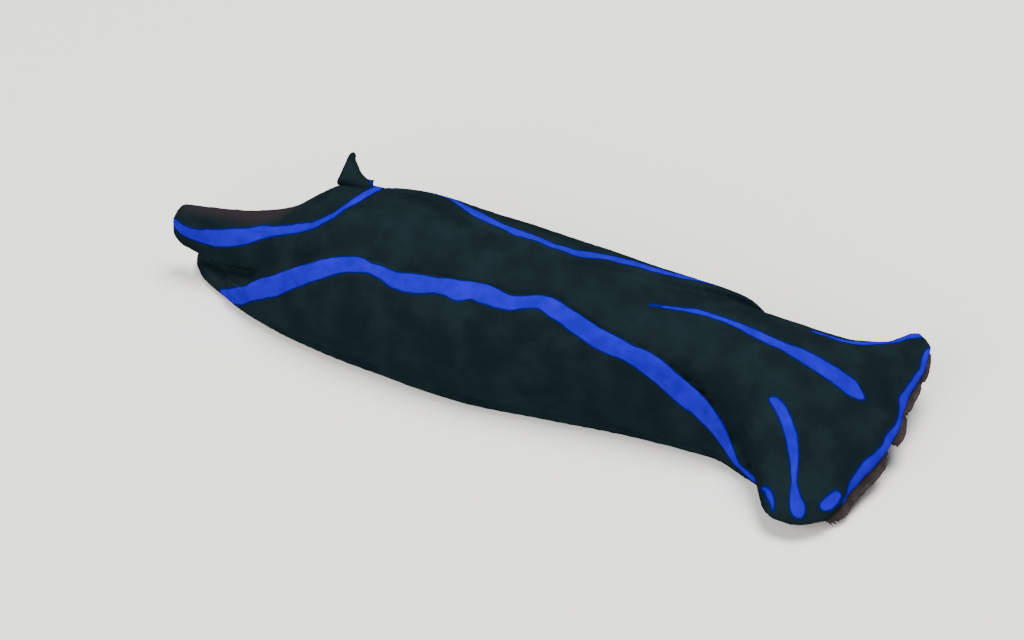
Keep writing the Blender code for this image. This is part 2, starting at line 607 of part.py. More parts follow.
def pad(lobes):
    """A thin pad under the head's front margin, notched into lobes, with bristles along its edge."""
    start, end = lobes[0][0], lobes[-1][1]
    q = np.linspace(start, end, int((end - start) / PAD_COLUMN_WIDTH) + 1)
    edge = pad_edge(lobes, q)
    grid = []
    for share in np.linspace(0, 1, PAD_ROWS):
        s = PAD_BACK_S + (edge - PAD_BACK_S) * share
        z = np.array([pad_height(*place) for place in zip(s, q)])
        grid.append(np.stack([s, q, z], -1))
    outer = np.array(grid)
    base = solid(*thick_sheet(outer, PAD_THICKNESS * np.ones(outer.shape[:2]), (False, True, True, True)))
    chance = np.random.default_rng(7)
    bristles = []
    for place in np.arange(start + 2 * BRISTLE_SPACING, end - BRISTLE_SPACING, BRISTLE_SPACING):
        front = pad_edge(lobes, np.array(place))
        root = (front - BRISTLE_RADIUS, place, pad_height(front, place) - PAD_THICKNESS / 2)
        direction = (1, chance.uniform(-0.3, 0.3), chance.uniform(-0.6, -0.2))
        bristles.append(solid(*bristle(root, direction, BRISTLE_LENGTH * chance.uniform(0.7, 1.1))))
    combine(base, bristles, "UNION")
    return base


def box(low, high):
    """Closed box between two corners."""
    points = [(s, q, z) for s in (low[0], high[0]) for q in (low[1], high[1]) for z in (low[2], high[2])]
    faces = [(0, 1, 3, 2), (4, 6, 7, 5), (0, 4, 5, 1), (2, 3, 7, 6), (0, 2, 6, 4), (1, 5, 7, 3)]
    return points, faces


def lips():
    """The lips: a small swelling under the middle of the head's front, with the slit of the mouth."""
    body = solid(*ellipsoid(LIP_CENTRE, LIP_RADII))
    half = MOUTH_SLIT_WIDTH / 2
    s, _, z = LIP_CENTRE
    low = (s + MOUTH_SLIT_BACK, -half, z - MOUTH_SLIT_HEIGHT / 2)
    high = (s + 2 * LIP_RADII[0], half, z + MOUTH_SLIT_HEIGHT / 2)
    slit = solid(*box(low, high))
    combine(body, [slit], "DIFFERENCE")
    return body


def gill():
    """The gill plume: a stem with leaflets to both sides."""
    s, q, z = GILL_STEM_CENTRE
    base = solid(*ellipsoid(GILL_STEM_CENTRE, GILL_STEM_RADII))
    pieces = []
    for share in np.linspace(0, 1, GILL_LEAFLETS):
        width, length, height = GILL_LEAFLET_RADII
        length = length * (1 - GILL_LEAFLET_SHRINK * share)
        along = GILL_STEM_RADII[0] * (0.65 - 1.3 * share)
        pieces.append(solid(*ellipsoid((s + along, q, z + 0.1), (width, length, height), 7, 8)))
    combine(base, pieces, "UNION")
    return base


def finish(name, source, colour):
    """Turns a body-space solid into the posed, named node with its own material."""
    mesh = source.data
    points = np.array([v.co for v in mesh.vertices])
    for vertex, place in zip(mesh.vertices, posed(points) * MM):
        vertex.co = place
    work = bmesh.new()
    work.from_mesh(mesh)
    bmesh.ops.recalc_face_normals(work, faces=work.faces)
    if work.calc_volume(signed=True) < 0:
        bmesh.ops.reverse_faces(work, faces=work.faces)
    work.to_mesh(mesh)
    work.free()
    mesh.shade_smooth()
    mesh.name = name
    source.name = name
    material = bpy.data.materials.new(name)
    material.use_nodes = True
    shader = material.node_tree.nodes["Principled BSDF"]
    shader.inputs["Base Color"].default_value = (*colour, 1)
    shader.inputs["Roughness"].default_value = SKIN_ROUGHNESS
    shader.inputs["Metallic"].default_value = 0
    mesh.materials.clear()
    mesh.materials.append(material)


# Nodes that aren't velvet black
OTHER_COLOURS = {
    "lips": PAD_BROWN,
    "sensory_pad_right": PAD_BROWN,
    "sensory_pad_left": PAD_BROWN,
    "gill": GILL_BROWN,
}

# Which node is cut back from which neighbours, in this order
CUT_BACK = [
    ("tail_lobe_right", ["posterior_shield", "parapodium_right"]),
    ("tail_lobe_left", ["posterior_shield", "parapodium_left", "tail_lobe_right"]),
    ("head_shield", ["parapodium_right", "parapodium_left"]),
    ("posterior_shield", ["parapodium_right", "parapodium_left"]),
    ("trunk", ["tail_lobe_right", "tail_lobe_left", "parapodium_right", "parapodium_left"]),
    ("gill", ["trunk", "parapodium_right", "tail_lobe_right"]),
    ("lips", ["head", "foot", "head_shield"]),
    ("sensory_pad_right", ["head", "foot", "head_shield", "lips"]),
    ("sensory_pad_left", ["head", "foot", "head_shield", "lips"]),
]


def main():
    for each in list(bpy.data.objects):
        bpy.data.objects.remove(each)
    nodes = {
        "foot": solid(*foot()),
        "parapodium_right": solid(*parapodium(-1)),
        "parapodium_left": solid(*parapodium(1)),
        "head_shield": solid(*shield(SHIELD_SEAM_S, HEAD_FRONT_S, HEAD_SHIELD_ROWS, True)),
        "posterior_shield": solid(*shield(LOBE_ROOT_S, SHIELD_SEAM_S - GAP, POSTERIOR_SHIELD_ROWS, False)),
        "tail_lobe_right": solid(*lobe(RIGHT_LOBE_INNER, RIGHT_LOBE_OUTER, RIGHT_LOBE_TIP)),
        "tail_lobe_left": solid(*lobe(LEFT_LOBE_INNER, LEFT_LOBE_OUTER, LEFT_LOBE_TIP)),
        "trunk": solid(*trunk()),
        "head": solid(*head()),
        "lips": lips(),
        "sensory_pad_right": pad(RIGHT_PAD_LOBES),
        "sensory_pad_left": pad(LEFT_PAD_LOBES),
        "gill": gill(),
    }
    for name, neighbours in CUT_BACK:
        cut_by(nodes[name], [nodes[each] for each in neighbours])
    for name, each in nodes.items():
        finish(name, each, OTHER_COLOURS.get(name, VELVET))


main()
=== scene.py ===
"""Looks of the blue velvet headshield slug: one skin over the whole body with its blue lines,
the bristly pads under the head, the lips and the gill plume, on a pale floor in soft light.

Shapes are drawn in the same straight body space as the solids, in millimetres: s runs from tail
to head, q to the animal's left and z up. The pose then bends them into place.
"""

import bmesh
import bpy
import numpy as np
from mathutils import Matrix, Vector


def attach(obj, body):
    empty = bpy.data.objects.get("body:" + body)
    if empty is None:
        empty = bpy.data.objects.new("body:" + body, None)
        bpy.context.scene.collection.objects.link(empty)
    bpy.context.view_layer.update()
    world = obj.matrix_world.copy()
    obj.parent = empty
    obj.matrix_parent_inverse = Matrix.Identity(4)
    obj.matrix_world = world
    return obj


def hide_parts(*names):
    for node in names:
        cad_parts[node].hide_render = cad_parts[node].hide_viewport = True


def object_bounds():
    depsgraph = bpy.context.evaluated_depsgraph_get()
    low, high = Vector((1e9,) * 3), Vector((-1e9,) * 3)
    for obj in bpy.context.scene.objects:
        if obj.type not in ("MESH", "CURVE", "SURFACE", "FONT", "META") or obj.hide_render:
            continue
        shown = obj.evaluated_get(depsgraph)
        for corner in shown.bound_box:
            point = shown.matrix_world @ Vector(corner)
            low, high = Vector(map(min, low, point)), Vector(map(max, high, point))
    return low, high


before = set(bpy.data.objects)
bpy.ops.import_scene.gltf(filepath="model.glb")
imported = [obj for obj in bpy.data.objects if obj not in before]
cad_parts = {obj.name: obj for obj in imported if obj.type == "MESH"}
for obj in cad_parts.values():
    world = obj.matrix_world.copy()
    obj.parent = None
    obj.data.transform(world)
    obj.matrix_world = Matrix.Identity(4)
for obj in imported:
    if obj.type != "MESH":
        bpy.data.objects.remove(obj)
cad_box = [list(corner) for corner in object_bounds()]

MM = 0.001

# Tolerances
TINY = 1e-9
SAME_PLACE = 1e-6
WELD_DISTANCE = 1e-5

# Sizes shared with the solids
FREE_EDGE = 0.9
FOOT_TAIL_S = -25.9
FOOT_FRONT_S = 29.0
HEAD_FRONT_S = 31.6
HEAD_HALF_WIDTH = 10.1
HEAD_SWEEP_RIGHT = 2.3
HEAD_SWEEP_LEFT = 2.0
SWEEP_START_S = 21.5
SOLE_THICKNESS = 1.2
SHIELD_THICKNESS = 1.25
SHIELD_EDGE_THICKNESS = 0.6
FLAP_THICKNESS = 1.05
LOBE_ROOT_S = -12.3
LOBE_ROOT_THICKNESS = 1.3
LOBE_TIP_THICKNESS = 0.8
LOBE_BULGE = 0.14
HEAD_ROOT_S = 19.0
TRUNK_TAIL_S = -22.4
MIDDLE_SHIFT = (-2.19, 0.92)
FLAP_BASE_Z = 1.7
TRUNK_LEDGE_Z = 2.6
TRUNK_SHOULDER_Z = 3.0
HEAD_INSIDE_SOLE = 0.3
HEAD_BEHIND_FRONT = 1.9
HEAD_FLOOR_SHARE = 0.97
SOLE_EDGE = 0.5
SOLE_EDGE_LIMIT = 0.4
TAIL_SQUARENESS = 2.2

# The sole's rounded edge, as (share of its width that it lies inside, height)
SOLE_EDGE_SHAPE = [(0.4, 0.0), (0.0, 0.45), (0.3, 0.95), (1.0, SOLE_THICKNESS)]

# Profiles along the body shared with the solids: pairs of (s, value)
CENTRE_LINE = [
    (-28, 0.6), (-15, 1.0), (-9, 1.0), (-2, 0.6), (13, 0.3), (19, 0.1), (24, -0.2), (32, -1.2),
]
BODY_HALF_WIDTH_RIGHT = [
    (-25.8, 0.9), (-22.7, 3.3), (-19.5, 4.9), (-14.4, 6.35), (-8, 7.2), (-1, 7.35), (6, 6.6),
    (13, 5.75), (19, 5.45), (22, 6.3), (24, 6.7),
]
BODY_HALF_WIDTH_LEFT = [
    (-25.8, 0.5), (-22.7, 2.9), (-19.5, 4.8), (-14.4, 6.5), (-8, 7.25), (-1, 7.15), (6, 6.6),
    (13, 6.2), (17, 6.4), (20, 6.3), (24, 5.9),
]
BODY_HEIGHT = [
    (-25.8, 1.0), (-22, 4.0), (-18, 7.2), (-12, 9.8), (-8, 10.3), (-2, 10.1), (13, 9.4),
    (19, 8.8), (24, 7.6),
]
BODY_SQUARENESS = [(-26, 2.2), (-8, 2.6), (13, 3.0), (19, 3.0), (24, 2.4)]
CROWN_HEIGHT = [
    (-12.3, 10.1), (-8, 10.35), (-2, 10.0), (6, 9.3), (13, 9.0), (17, 8.8), (20.3, 8.2),
    (23.4, 7.5), (25.7, 6.7), (28.4, 5.2), (31.6, 3.0),
]
CROWN_HALF_WIDTH_RIGHT = [
    (-12.3, 4.4), (-10, 4.85), (-8, 5.3), (-1, 5.55), (3, 5.6), (6, 5.5), (10, 5.2), (13, 4.8),
    (17.5, 4.3), (20.5, 4.9), (22.5, 6.7), (24.5, 8.7), (26.3, 9.9), (28, 10.3), (29.6, 10.3),
    (30.5, 9.95), (31.1, 9.3), (31.6, 8.1),
]
CROWN_HALF_WIDTH_LEFT = [
    (-12.3, 4.9), (-10, 5.2), (-8, 5.4), (-1, 5.55), (3, 5.6), (10, 5.4), (13, 5.2), (17.5, 5.15),
    (20.5, 5.35), (22, 5.6), (25, 5.8), (27, 6.7), (28, 7.3), (29, 8.3), (29.8, 9.3), (30.5, 9.7),
    (31.1, 9.4), (31.6, 8.5),
]
CROWN_SQUARENESS = [(-12.3, 2.8), (-8, 2.4), (-2, 2.2), (13, 2.3), (19, 2.3), (24, 2.1), (31.3, 2.2)]
RIM_HEIGHT_RIGHT = [(-12.3, 4.2), (-8, 3.2), (16, 3.0), (19, 2.6), (22.5, 1.9), (25, 1.1), (31.6, 1.4)]
RIM_HEIGHT_LEFT = [
    (-12.3, 4.2), (-8, 3.2), (16, 3.2), (20, 3.4), (23, 3.6), (26, 4.1), (29, 4.75), (31.6, 4.95),
]
FLAP_STRIPE_HEIGHT = [
    (-22.4, 0.6), (-21.1, 1.2), (-19.3, 2.75), (-16.9, 4.5), (-14.0, 6.6), (-12.1, 7.75),
    (-10.1, 8.4), (-6.3, 8.5), (-3.2, 8.85), (0.3, 9.1), (2.5, 8.95), (4.9, 9.2), (7.1, 8.75),
    (9.5, 8.0), (11.9, 7.5), (14.35, 6.7), (16.8, 5.4), (18.5, 4.2), (20.2, 2.2), (21.55, 0.7),
    (22.4, 0.5),
]
FLAP_MARGIN_ABOVE_STRIPE = [(-22.4, 0.3), (-20.5, 0.7), (-18, 1.0), (17, 1.0), (20, 0.7), (22.4, 0.3)]
LEFT_FLAP_REACH = [
    (-12, 0), (-10, 0.1), (-8, 0.6), (-6.5, 1.2), (-5, 1.8), (-3.2, 2.1), (1, 2.3), (3, 2.5),
    (4.8, 1.95), (6.8, 1.9), (9, 2.2), (12, 2.5), (15, 2.5), (17, 2.2), (19, 1.1), (21, 0),
]
FLAP_TAIL_S = -22.4
FLAP_FRONT_S = 22.4
FLAP_MARGIN_THINNING = 0.3
SOLE_HALF_WIDTH_RIGHT = [
    (-25.9, 0.6), (-24.8, 1.9), (-22.7, 3.2), (-19.5, 4.8), (-14.4, 6.25), (-8, 7.1), (-1, 7.25),
    (6, 6.5), (13, 5.65), (19, 5.35), (22, 6.2), (24, 6.8), (26, 7.6), (28, 7.8), (29.0, 7.2),
]
SOLE_HALF_WIDTH_LEFT = [
    (-25.6, 0.4), (-24.6, 1.5), (-22.7, 2.8), (-19.5, 4.7), (-14.4, 6.4), (-8, 7.15), (-1, 7.05),
    (6, 6.5), (13, 6.1), (17, 6.1), (20, 5.8), (24, 5.6), (28, 6.5), (29.0, 6.4),
]
TRUNK_TAIL_HEIGHT = [(-22.4, 2.0), (-20.5, 2.2), (-18, 3.4), (-15.5, 4.8), (-13.5, 6.6), (-12.6, 8.0)]
TRUNK_TAIL_HALF_WIDTH = [
    (-22.4, 1.3), (-20.5, 1.9), (-18, 3.0), (-15.5, 3.4), (-13.5, 3.1), (-12.6, 2.9),
]

# The head's front margin from right to left: pairs of (q, how far it lies ahead of HEAD_FRONT_S)
FRONT_MARGIN_START_S = 28.5
FRONT_MARGIN = [
    (-8.5, -0.2), (-6.6, -0.12), (-5.4, -0.45), (-4, -0.45), (-2.4, -0.25), (-1.1, -0.15),
    (1.3, -0.2), (2.6, -0.45), (3.9, -0.5), (5.5, -0.25), (6.8, 0), (8.3, 0),
]

# The pads of feeling bristles under the head's front margin, each lobe from one q to another, the
# lips and the gill plume
RIGHT_PAD_LOBES = [(-7.9, -0.75)]
LEFT_PAD_LOBES = [(0.1, 3.15), (2.95, 6.1), (5.9, 9.0)]
PAD_BACK_S = 30.0
PAD_NOTCH_S = 31.2
PAD_FRONT_S = 31.8
PAD_THICKNESS = 0.5
PAD_LOBE_ROUNDNESS = 2.6
LIP_CENTRE = (29.7, 0.1, 0.95)
LIP_RADII = (1.3, 0.75, 0.7)
GILL_STEM_CENTRE = (-16.4, -3.6, 2.7)
GILL_STEM_RADII = (1.9, 0.45, 0.5)
GILL_LEAFLET_RADII = (0.16, 0.95, 0.3)
GILL_LEAFLET_SHRINK = 0.4

# The two tail lobes: margins as points (s, q, z) from root to tip, within 0.3 mm of the solids'
RIGHT_LOBE_INNER = [
    (-12.3, 2.9, 9.5), (-14.3, 2.5, 9.7), (-15.6, 1.9, 9.1), (-17.4, 1.0, 7.85),
    (-21.8, 0.0, 6.65), (-26.3, -0.6, 6.3),
]
RIGHT_LOBE_OUTER = [
    (-12.3, -4.4, 5.2), (-14.5, -4.0, 4.5), (-17.0, -3.4, 3.7), (-20.0, -2.6, 2.6),
    (-22.5, -2.0, 1.85), (-24.2, -1.5, 1.45), (-26.5, -0.95, 1.75),
]
RIGHT_LOBE_TIP = (-27.7, -0.85, 4.0)
LEFT_LOBE_INNER = [
    (-12.3, 3.1, 9.45), (-14.1, 3.1, 9.1), (-15.5, 3.1, 8.65), (-15.75, 4.5, 8.75),
    (-15.85, 5.9, 9.0),
]
LEFT_LOBE_OUTER = [
    (-12.3, 4.4, 7.8), (-12.35, 4.35, 8.7), (-13.2, 4.75, 9.05), (-14.05, 5.4, 9.1),
    (-14.75, 6.25, 9.15),
]
LEFT_LOBE_TIP = (-15.45, 6.95, 9.2)

# The skin: how deep its pieces overlap, how fine it is, and details of its forms
OVERLAP = 0.35
BASE_Z = SOLE_THICKNESS - OVERLAP
SKIN_CELL = 0.14
SKIN_SMOOTHING = 4
SMOOTHING_FACTOR = 0.5
FLAP_THINNING_START = 0.5
FLAP_MARGIN_SHARE = 0.8
SHIELD_THINNING = (22, 30)
TRUNK_BELOW_BACK = 0.35
TRUNK_FRONT_S = 22.2
TRUNK_LEDGE_ABOVE_FLAP = 0.2
TAIL_OVERLAP = 0.5
TAIL_RISE = 0.2
TAIL_LEDGE_BELOW_FLAP = 0.35
TAIL_LEDGE_HEIGHT = [(-17.5, 5.0), (-16, 5.4), (-14.5, 6.5), (-12.8, 7.7)]
TAIL_LEDGE_LEAST_WIDTH = 0.05
HEAD_SIDE_INSET = [(19, 0.3), (21, 0.5), (23.5, 1.1), (26, 1.9)]
HEAD_LEAST_STEP = 0.01
LOBE_ROOT_BLEND = 0.35
LOBE_TIP_ANGLE = 0.44 * np.pi

# How many points the shapes are drawn with, and how much closer they lie near a shape's ends
ARCH_POINTS = 601
BACK_POINTS = 401
UNDERSIDE_POINTS = 241
SOLE_ROWS = 150
FLAP_ROWS, FLAP_COLUMNS = 180, 48
CROWN_ROWS, CROWN_COLUMNS = 200, 81
TRUNK_ROWS, TRUNK_POINTS = 96, 121
TAIL_ROWS = 40
CORE_COLUMNS = 41
HEAD_ROWS, HEAD_COLUMNS = 50, 61
LOBE_ROWS, LOBE_COLUMNS, LOBE_TIP_ROWS = 60, 41, 10
ELLIPSOID_RINGS, ELLIPSOID_COLUMNS = 24, 32
POLE_ANGLE = 0.06
EASE = 0.5
CROWN_EASE = 0.4

# Soft folds and grain of the skin: depths, and waves as (share, size, seed)
WRINKLE_DEPTH = 0.05
GRAIN_DEPTH = 0.02
FOLD_STRETCH = (0.45, 1, 1)
FOLDS = [(1, 1.5, 11), (0.6, 0.8, 12)]
GRAIN_SIZE, GRAIN_SEED = 0.35, 13
WRINKLES_FULL_Z = 0.6

# After so many of its features a chance field repeats
CHANCE_CELLS = 24

# Pads: finer than the solids, with bristles in two layers that droop and spread a little. The rings
# of a bristle are (share of its length, share of its radius).
PAD_CELL = 0.04
PAD_SMOOTHING = 2
PAD_GRID_STEP = 0.08
PAD_ROWS = 24
PAD_LEAST_STEP = 0.001
PAD_BELOW_SHIELD = 0.2
PAD_ABOVE_GROUND = 0.1
PAD_LUMP_HEIGHT, PAD_LUMP_SIZE = 0.02, 0.25
FINE_BRISTLE_SPACING = 0.26
FINE_BRISTLE_LENGTH = 0.1
FINE_BRISTLE_RADIUS = 0.06
FINE_BRISTLE_ROOT_DEPTH = 0.3
FINE_BRISTLE_SIDES = 8
FINE_BRISTLE_RINGS = [(0.0, 1.0), (0.7, 0.75), (1.0, 0.35)]
FINE_BRISTLE_FROM_START, FINE_BRISTLE_FROM_END = 0.3, 0.2
FINE_BRISTLE_LAYERS = (0.3, 0.7)
FINE_BRISTLE_BEHIND_EDGE = 0.1
FINE_BRISTLE_SHIFT = 0.05
FINE_BRISTLE_TURN = 0.35
FINE_BRISTLE_DROOP = (-0.6, 0.1)
FINE_BRISTLE_LAYER_DROOP = 0.3
FINE_BRISTLE_LENGTH_SHARE = (0.6, 1.1)
RIGHT_PAD_SEED, LEFT_PAD_SEED = 7, 8

# Lips and gill
MOUTH_SLIT_RADII = (0.75, 0.12, 0.42)
LIP_SMOOTHING = 3
LIP_CREASES = 12
LIP_CREASE_DEPTH = 0.02
FINE_STEM_SHARE = (1, 0.8, 0.8)
FINE_LEAFLETS = 11
FINE_LEAFLET_HALF_THICKNESS = 0.09
FINE_LEAFLET_SPAN = 0.72
FINE_LEAFLET_RAISE = 0.1
GILL_SMOOTHING = 1
GILL_LUMP_HEIGHT, GILL_LUMP_SIZE, GILL_LUMP_SEED = 0.015, 0.2, 21

# The blue lines, as points along the middle of each. On the head they are (s, q, half width) and
# follow the surface of the back, on the tail lobes (s, q, z, half width).
MEDIAN_LINE = [
    (12.0, -0.7, 0.1), (14.2, -0.15, 0.22), (15.6, 0.15, 0.26), (17.2, 0.22, 0.3),
    (18.6, 0.25, 0.33), (20.3, 0.24, 0.38), (21.8, 0.28, 0.42), (23.4, 0.33, 0.55),
    (25.0, 0.35, 0.65), (26.3, 0.42, 0.68), (27.2, 0.5, 0.68), (27.8, 0.52, 0.5),
    (28.15, 0.55, 0.3), (28.5, 0.55, 0.05),
]
RIGHT_LATERAL_LINE = [
    (22.85, -3.85, 0.2), (23.15, -3.9, 0.36), (23.8, -4.2, 0.42), (24.5, -4.62, 0.44),
    (25.0, -5.0, 0.46), (25.5, -5.42, 0.47), (26.4, -6.3, 0.44), (27.2, -7.15, 0.33),
    (27.8, -7.82, 0.25), (28.2, -8.15, 0.3), (28.5, -8.4, 0.38), (29.0, -8.75, 0.52),
    (29.45, -9.0, 0.58), (29.8, -9.15, 0.42),
]
LEFT_LATERAL_LINE = [
    (23.2, 3.4, 0.15), (24.1, 3.65, 0.25), (25.2, 3.95, 0.3), (26.5, 4.9, 0.3), (27.6, 6.15, 0.3),
    (28.7, 7.3, 0.32), (29.3, 8.1, 0.4), (29.9, 8.75, 0.45), (30.4, 9.15, 0.4),
]
FRONT_LINE = [
    (31.51, 8.3, 0.15), (31.46, 7.7, 0.36), (31.41, 6.9, 0.42), (31.36, 6.25, 0.37),
    (31.1, 5.45, 0.34), (30.96, 4.75, 0.32), (30.82, 3.9, 0.31), (30.75, 3.2, 0.38),
    (30.88, 2.55, 0.3), (31.03, 2.0, 0.3), (31.12, 1.55, 0.31), (31.17, 0.85, 0.32),
    (31.15, 0.2, 0.38), (31.12, -0.5, 0.41), (31.15, -1.2, 0.38), (31.12, -1.75, 0.41),
    (31.02, -2.4, 0.41), (30.92, -3.0, 0.41), (30.85, -3.6, 0.38), (30.84, -4.25, 0.34),
    (30.88, -5.0, 0.27), (30.96, -5.4, 0.19), (31.09, -5.8, 0.14), (31.26, -6.25, 0.14),
    (31.36, -6.6, 0.1),
]
FRONT_LINE_END = [
    (30.75, -6.45, 0.33), (30.78, -6.8, 0.4), (30.77, -7.3, 0.42), (30.7, -7.75, 0.33),
]
SIDE_PATCH = [
    (24.95, -8.72, 0.06), (25.75, -9.02, 0.13), (26.5, -9.3, 0.21), (27.1, -9.55, 0.2),
    (27.7, -9.92, 0.08),
]

# The line on the right flap as (s, height, half width). The left flap's line follows the flap's
# stripe height and has its own half width and reach over the back.
RIGHT_FLAP_LINE = [
    (-22.4, 0.45, 0.45), (-21.3, 0.95, 0.75), (-19.3, 2.75, 0.85), (-16.9, 4.45, 0.92),
    (-14.0, 6.55, 0.76), (-12.1, 7.7, 0.7), (-10.4, 8.35, 0.66), (-9.5, 8.55, 0.56),
    (-8.7, 8.6, 0.44), (-7.6, 8.55, 0.53), (-6.3, 8.45, 0.64), (-4.7, 8.6, 0.79),
    (-3.2, 8.85, 0.63), (-2.1, 8.98, 0.76), (-1.5, 8.93, 0.83), (-0.4, 9.14, 0.76),
    (0.5, 9.1, 0.82), (2.2, 8.94, 0.64), (3.3, 9.07, 0.56), (4.7, 9.22, 0.62), (6.0, 9.0, 0.75),
    (8.5, 8.35, 0.76), (9.8, 7.95, 0.81), (11.6, 7.57, 0.7), (12.6, 7.35, 0.76),
    (13.7, 7.0, 0.88), (16.3, 5.6, 0.95), (18.4, 4.25, 0.85), (19.8, 2.8, 0.6),
    (20.5, 1.95, 0.45), (21.3, 1.15, 0.38), (22.4, 0.65, 0.32), (23.3, 0.5, 0.22),
]
LEFT_FLAP_LINE_HALF_WIDTH = [
    (-22.4, 0.7), (-17, 0.9), (-12, 0.6), (-9, 0.4), (-6.5, 0.3), (-5, 0.4), (-3.2, 0.5),
    (-1, 0.4), (0.6, 0.45), (2, 0.35), (4, 0.35), (6, 0.4), (9, 0.42), (12, 0.42), (14, 0.36),
    (16, 0.4), (18.4, 0.5), (19.8, 0.4), (21.3, 0.3), (22.4, 0.2),
]
LEFT_LINE_REACH = [
    (-12, 0), (-10, 0.1), (-8, 0.5), (-6.5, 1.15), (-5, 1.8), (-3.2, 2.1), (1, 2.3), (3, 2.5),
    (4.8, 1.95), (6.8, 1.9), (9, 2.2), (12, 2.45), (14.5, 2.35), (16.5, 1.8), (18, 1.0),
    (19.5, 0.3), (21, 0),
]
RIGHT_LOBE_LINE = [
    (-27.3, -1.1, 4.5, 0.38), (-26.9, -1.15, 4.4, 0.42), (-26.3, -1.25, 4.2, 0.5),
    (-25.3, -1.35, 4.05, 0.57), (-23.4, -1.5, 4.3, 0.75), (-21.5, -1.5, 5.0, 0.72),
    (-19.4, -1.25, 5.95, 0.54), (-16.9, -1.3, 7.0, 0.4), (-14.7, -1.65, 8.35, 0.41),
    (-13.3, -1.4, 9.4, 0.4), (-12.6, -0.45, 9.75, 0.4), (-11.95, 1.0, 10.05, 0.38),
    (-11.7, 1.7, 9.95, 0.38), (-11.5, 2.5, 9.7, 0.38), (-11.5, 2.9, 9.5, 0.36),
]
LEFT_LOBE_LINE = [
    (-11.5, 2.9, 9.5, 0.36), (-11.9, 3.5, 9.25, 0.4), (-12.3, 4.1, 8.9, 0.42),
    (-12.8, 4.5, 8.9, 0.42), (-13.3, 4.85, 9.05, 0.4), (-13.8, 5.2, 9.1, 0.25),
]

# How the lines are drawn: waves of their edges as (height, size, seed), and how far the heights of
# the lines on the head may be off
LINE_WAVES = [(0.06, 1.1, 3), (0.03, 0.45, 4)]
LINE_SLACK = 0.35
LINE_SURROUND = 1.0
LINE_POINTS_PER_POINT, LINE_LEAST_POINTS = 12, 120
LEFT_LINE_POINTS = 60
SHAPING_ROUNDS = 8
POINTS_AT_ONCE = 4000

# The thin rim of the right tail lobe, where the skin looks brownish, as (s, q, z, half width)
THIN_RIM = [
    (-26.2, -0.8, 6.0, 0.5), (-23.5, -0.4, 6.4, 0.9), (-21.0, -0.2, 6.7, 1.1),
    (-18.8, 0.3, 7.1, 0.9), (-17.2, 0.9, 7.8, 0.5),
]

# Colours, and between which values each one fades into the next
BLACK_DEEP = (0.0036, 0.0072, 0.0087)
BLACK_PALE = (0.0052, 0.0102, 0.012)
BLACK_MOTTLE_SIZE, BLACK_FADE = 2.2, (0.35, 0.7)
THIN_COLOUR = (0.0125, 0.0102, 0.012)
THIN_FADE = (-0.3, 0.8)
BLUE_DEEP = (0.0065, 0.0, 0.205)
BLUE_PALE = (0.0098, 0.0, 0.275)
BLUE_MOTTLE_SIZE, BLUE_FADE = 1.2, (0.3, 0.7)
BLUE_EDGE = (0.001, 0.002, 0.06)
BLUE_EDGE_FADE = (-0.12, 0.06)
BLUE_LINE_FADE = (0.0, 0.14)
PAD_COLOUR = (0.024, 0.0178, 0.0172)
LIP_COLOUR = (0.02, 0.012, 0.011)
GILL_COLOUR = (0.022, 0.018, 0.018)
PLAIN_DEEP_SHARE = 0.55
PLAIN_MOTTLE_SIZE, PLAIN_FADE = 0.8, (0.35, 0.65)
NOISE_DETAIL = 3.0
VELVET_ROUGHNESS, VELVET_GLOSS = 0.7, 0.0
PAD_ROUGHNESS, LIP_ROUGHNESS, GILL_ROUGHNESS = 0.6, 0.5, 0.5
PLAIN_GLOSS = 0.1

# Floor, light and camera, in metres, watts and degrees; the camera's aim, sensor and lens in mm.
# Lights are (name, place, power, width).
FLOOR_HALF_SIZE = 1.5
FLOOR_DROP = 0.0001
FLOOR_COLOUR = (0.62, 0.6, 0.57, 1)
FLOOR_ROUGHNESS = 0.9
LIGHTS = [("key", (0.05, 0.1, 0.4), 4.2, 0.25), ("fill", (-0.1, -0.38, 0.26), 4.2, 0.4)]
SKY_COLOUR = (0.8, 0.85, 0.9, 1)
SKY_STRENGTH = 0.6
CAMERA_TURN, CAMERA_RISE = 22.0, 42.0
CAMERA_DISTANCE = 0.22
CAMERA_AIM = (-0.44, 3.55)
CAMERA_SENSOR = 36
CAMERA_LENS = 100.3
CAMERA_CLIP = 0.01

FLESH = [
    "foot", "trunk", "head", "head_shield", "posterior_shield", "parapodium_right",
    "parapodium_left", "tail_lobe_right", "tail_lobe_left",
]


def smooth_step(low, high, x):
    """0 below low, 1 above high, smooth between."""
    t = np.clip((np.asarray(x, float) - low) / (high - low), 0, 1)
    return t * t * (3 - 2 * t)


def profile(pairs, s):
    """Smooth curve through (s, value) pairs that never overshoots between them."""
    x, y = np.array(pairs, float).T
    s = np.clip(np.asarray(s, float), x[0], x[-1])
    step = np.diff(x)
    slope = np.diff(y) / step
    tangent = np.zeros_like(y)
    same_way = slope[:-1] * slope[1:] > 0
    w1 = 2 * step[1:] + step[:-1]
    w2 = step[1:] + 2 * step[:-1]
    with np.errstate(divide="ignore", invalid="ignore"):
        mean = (w1 + w2) / (w1 / slope[:-1] + w2 / slope[1:])
    tangent[1:-1] = np.where(same_way, mean, 0)
    tangent[0], tangent[-1] = slope[0], slope[-1]
    i = np.clip(np.searchsorted(x, s) - 1, 0, len(step) - 1)
    t = (s - x[i]) / step[i]
    return (
        y[i] * (1 + 2 * t) * (1 - t) ** 2
        + tangent[i] * step[i] * t * (1 - t) ** 2
        + y[i + 1] * t * t * (3 - 2 * t)
        + tangent[i + 1] * step[i] * t * t * (t - 1)
    )


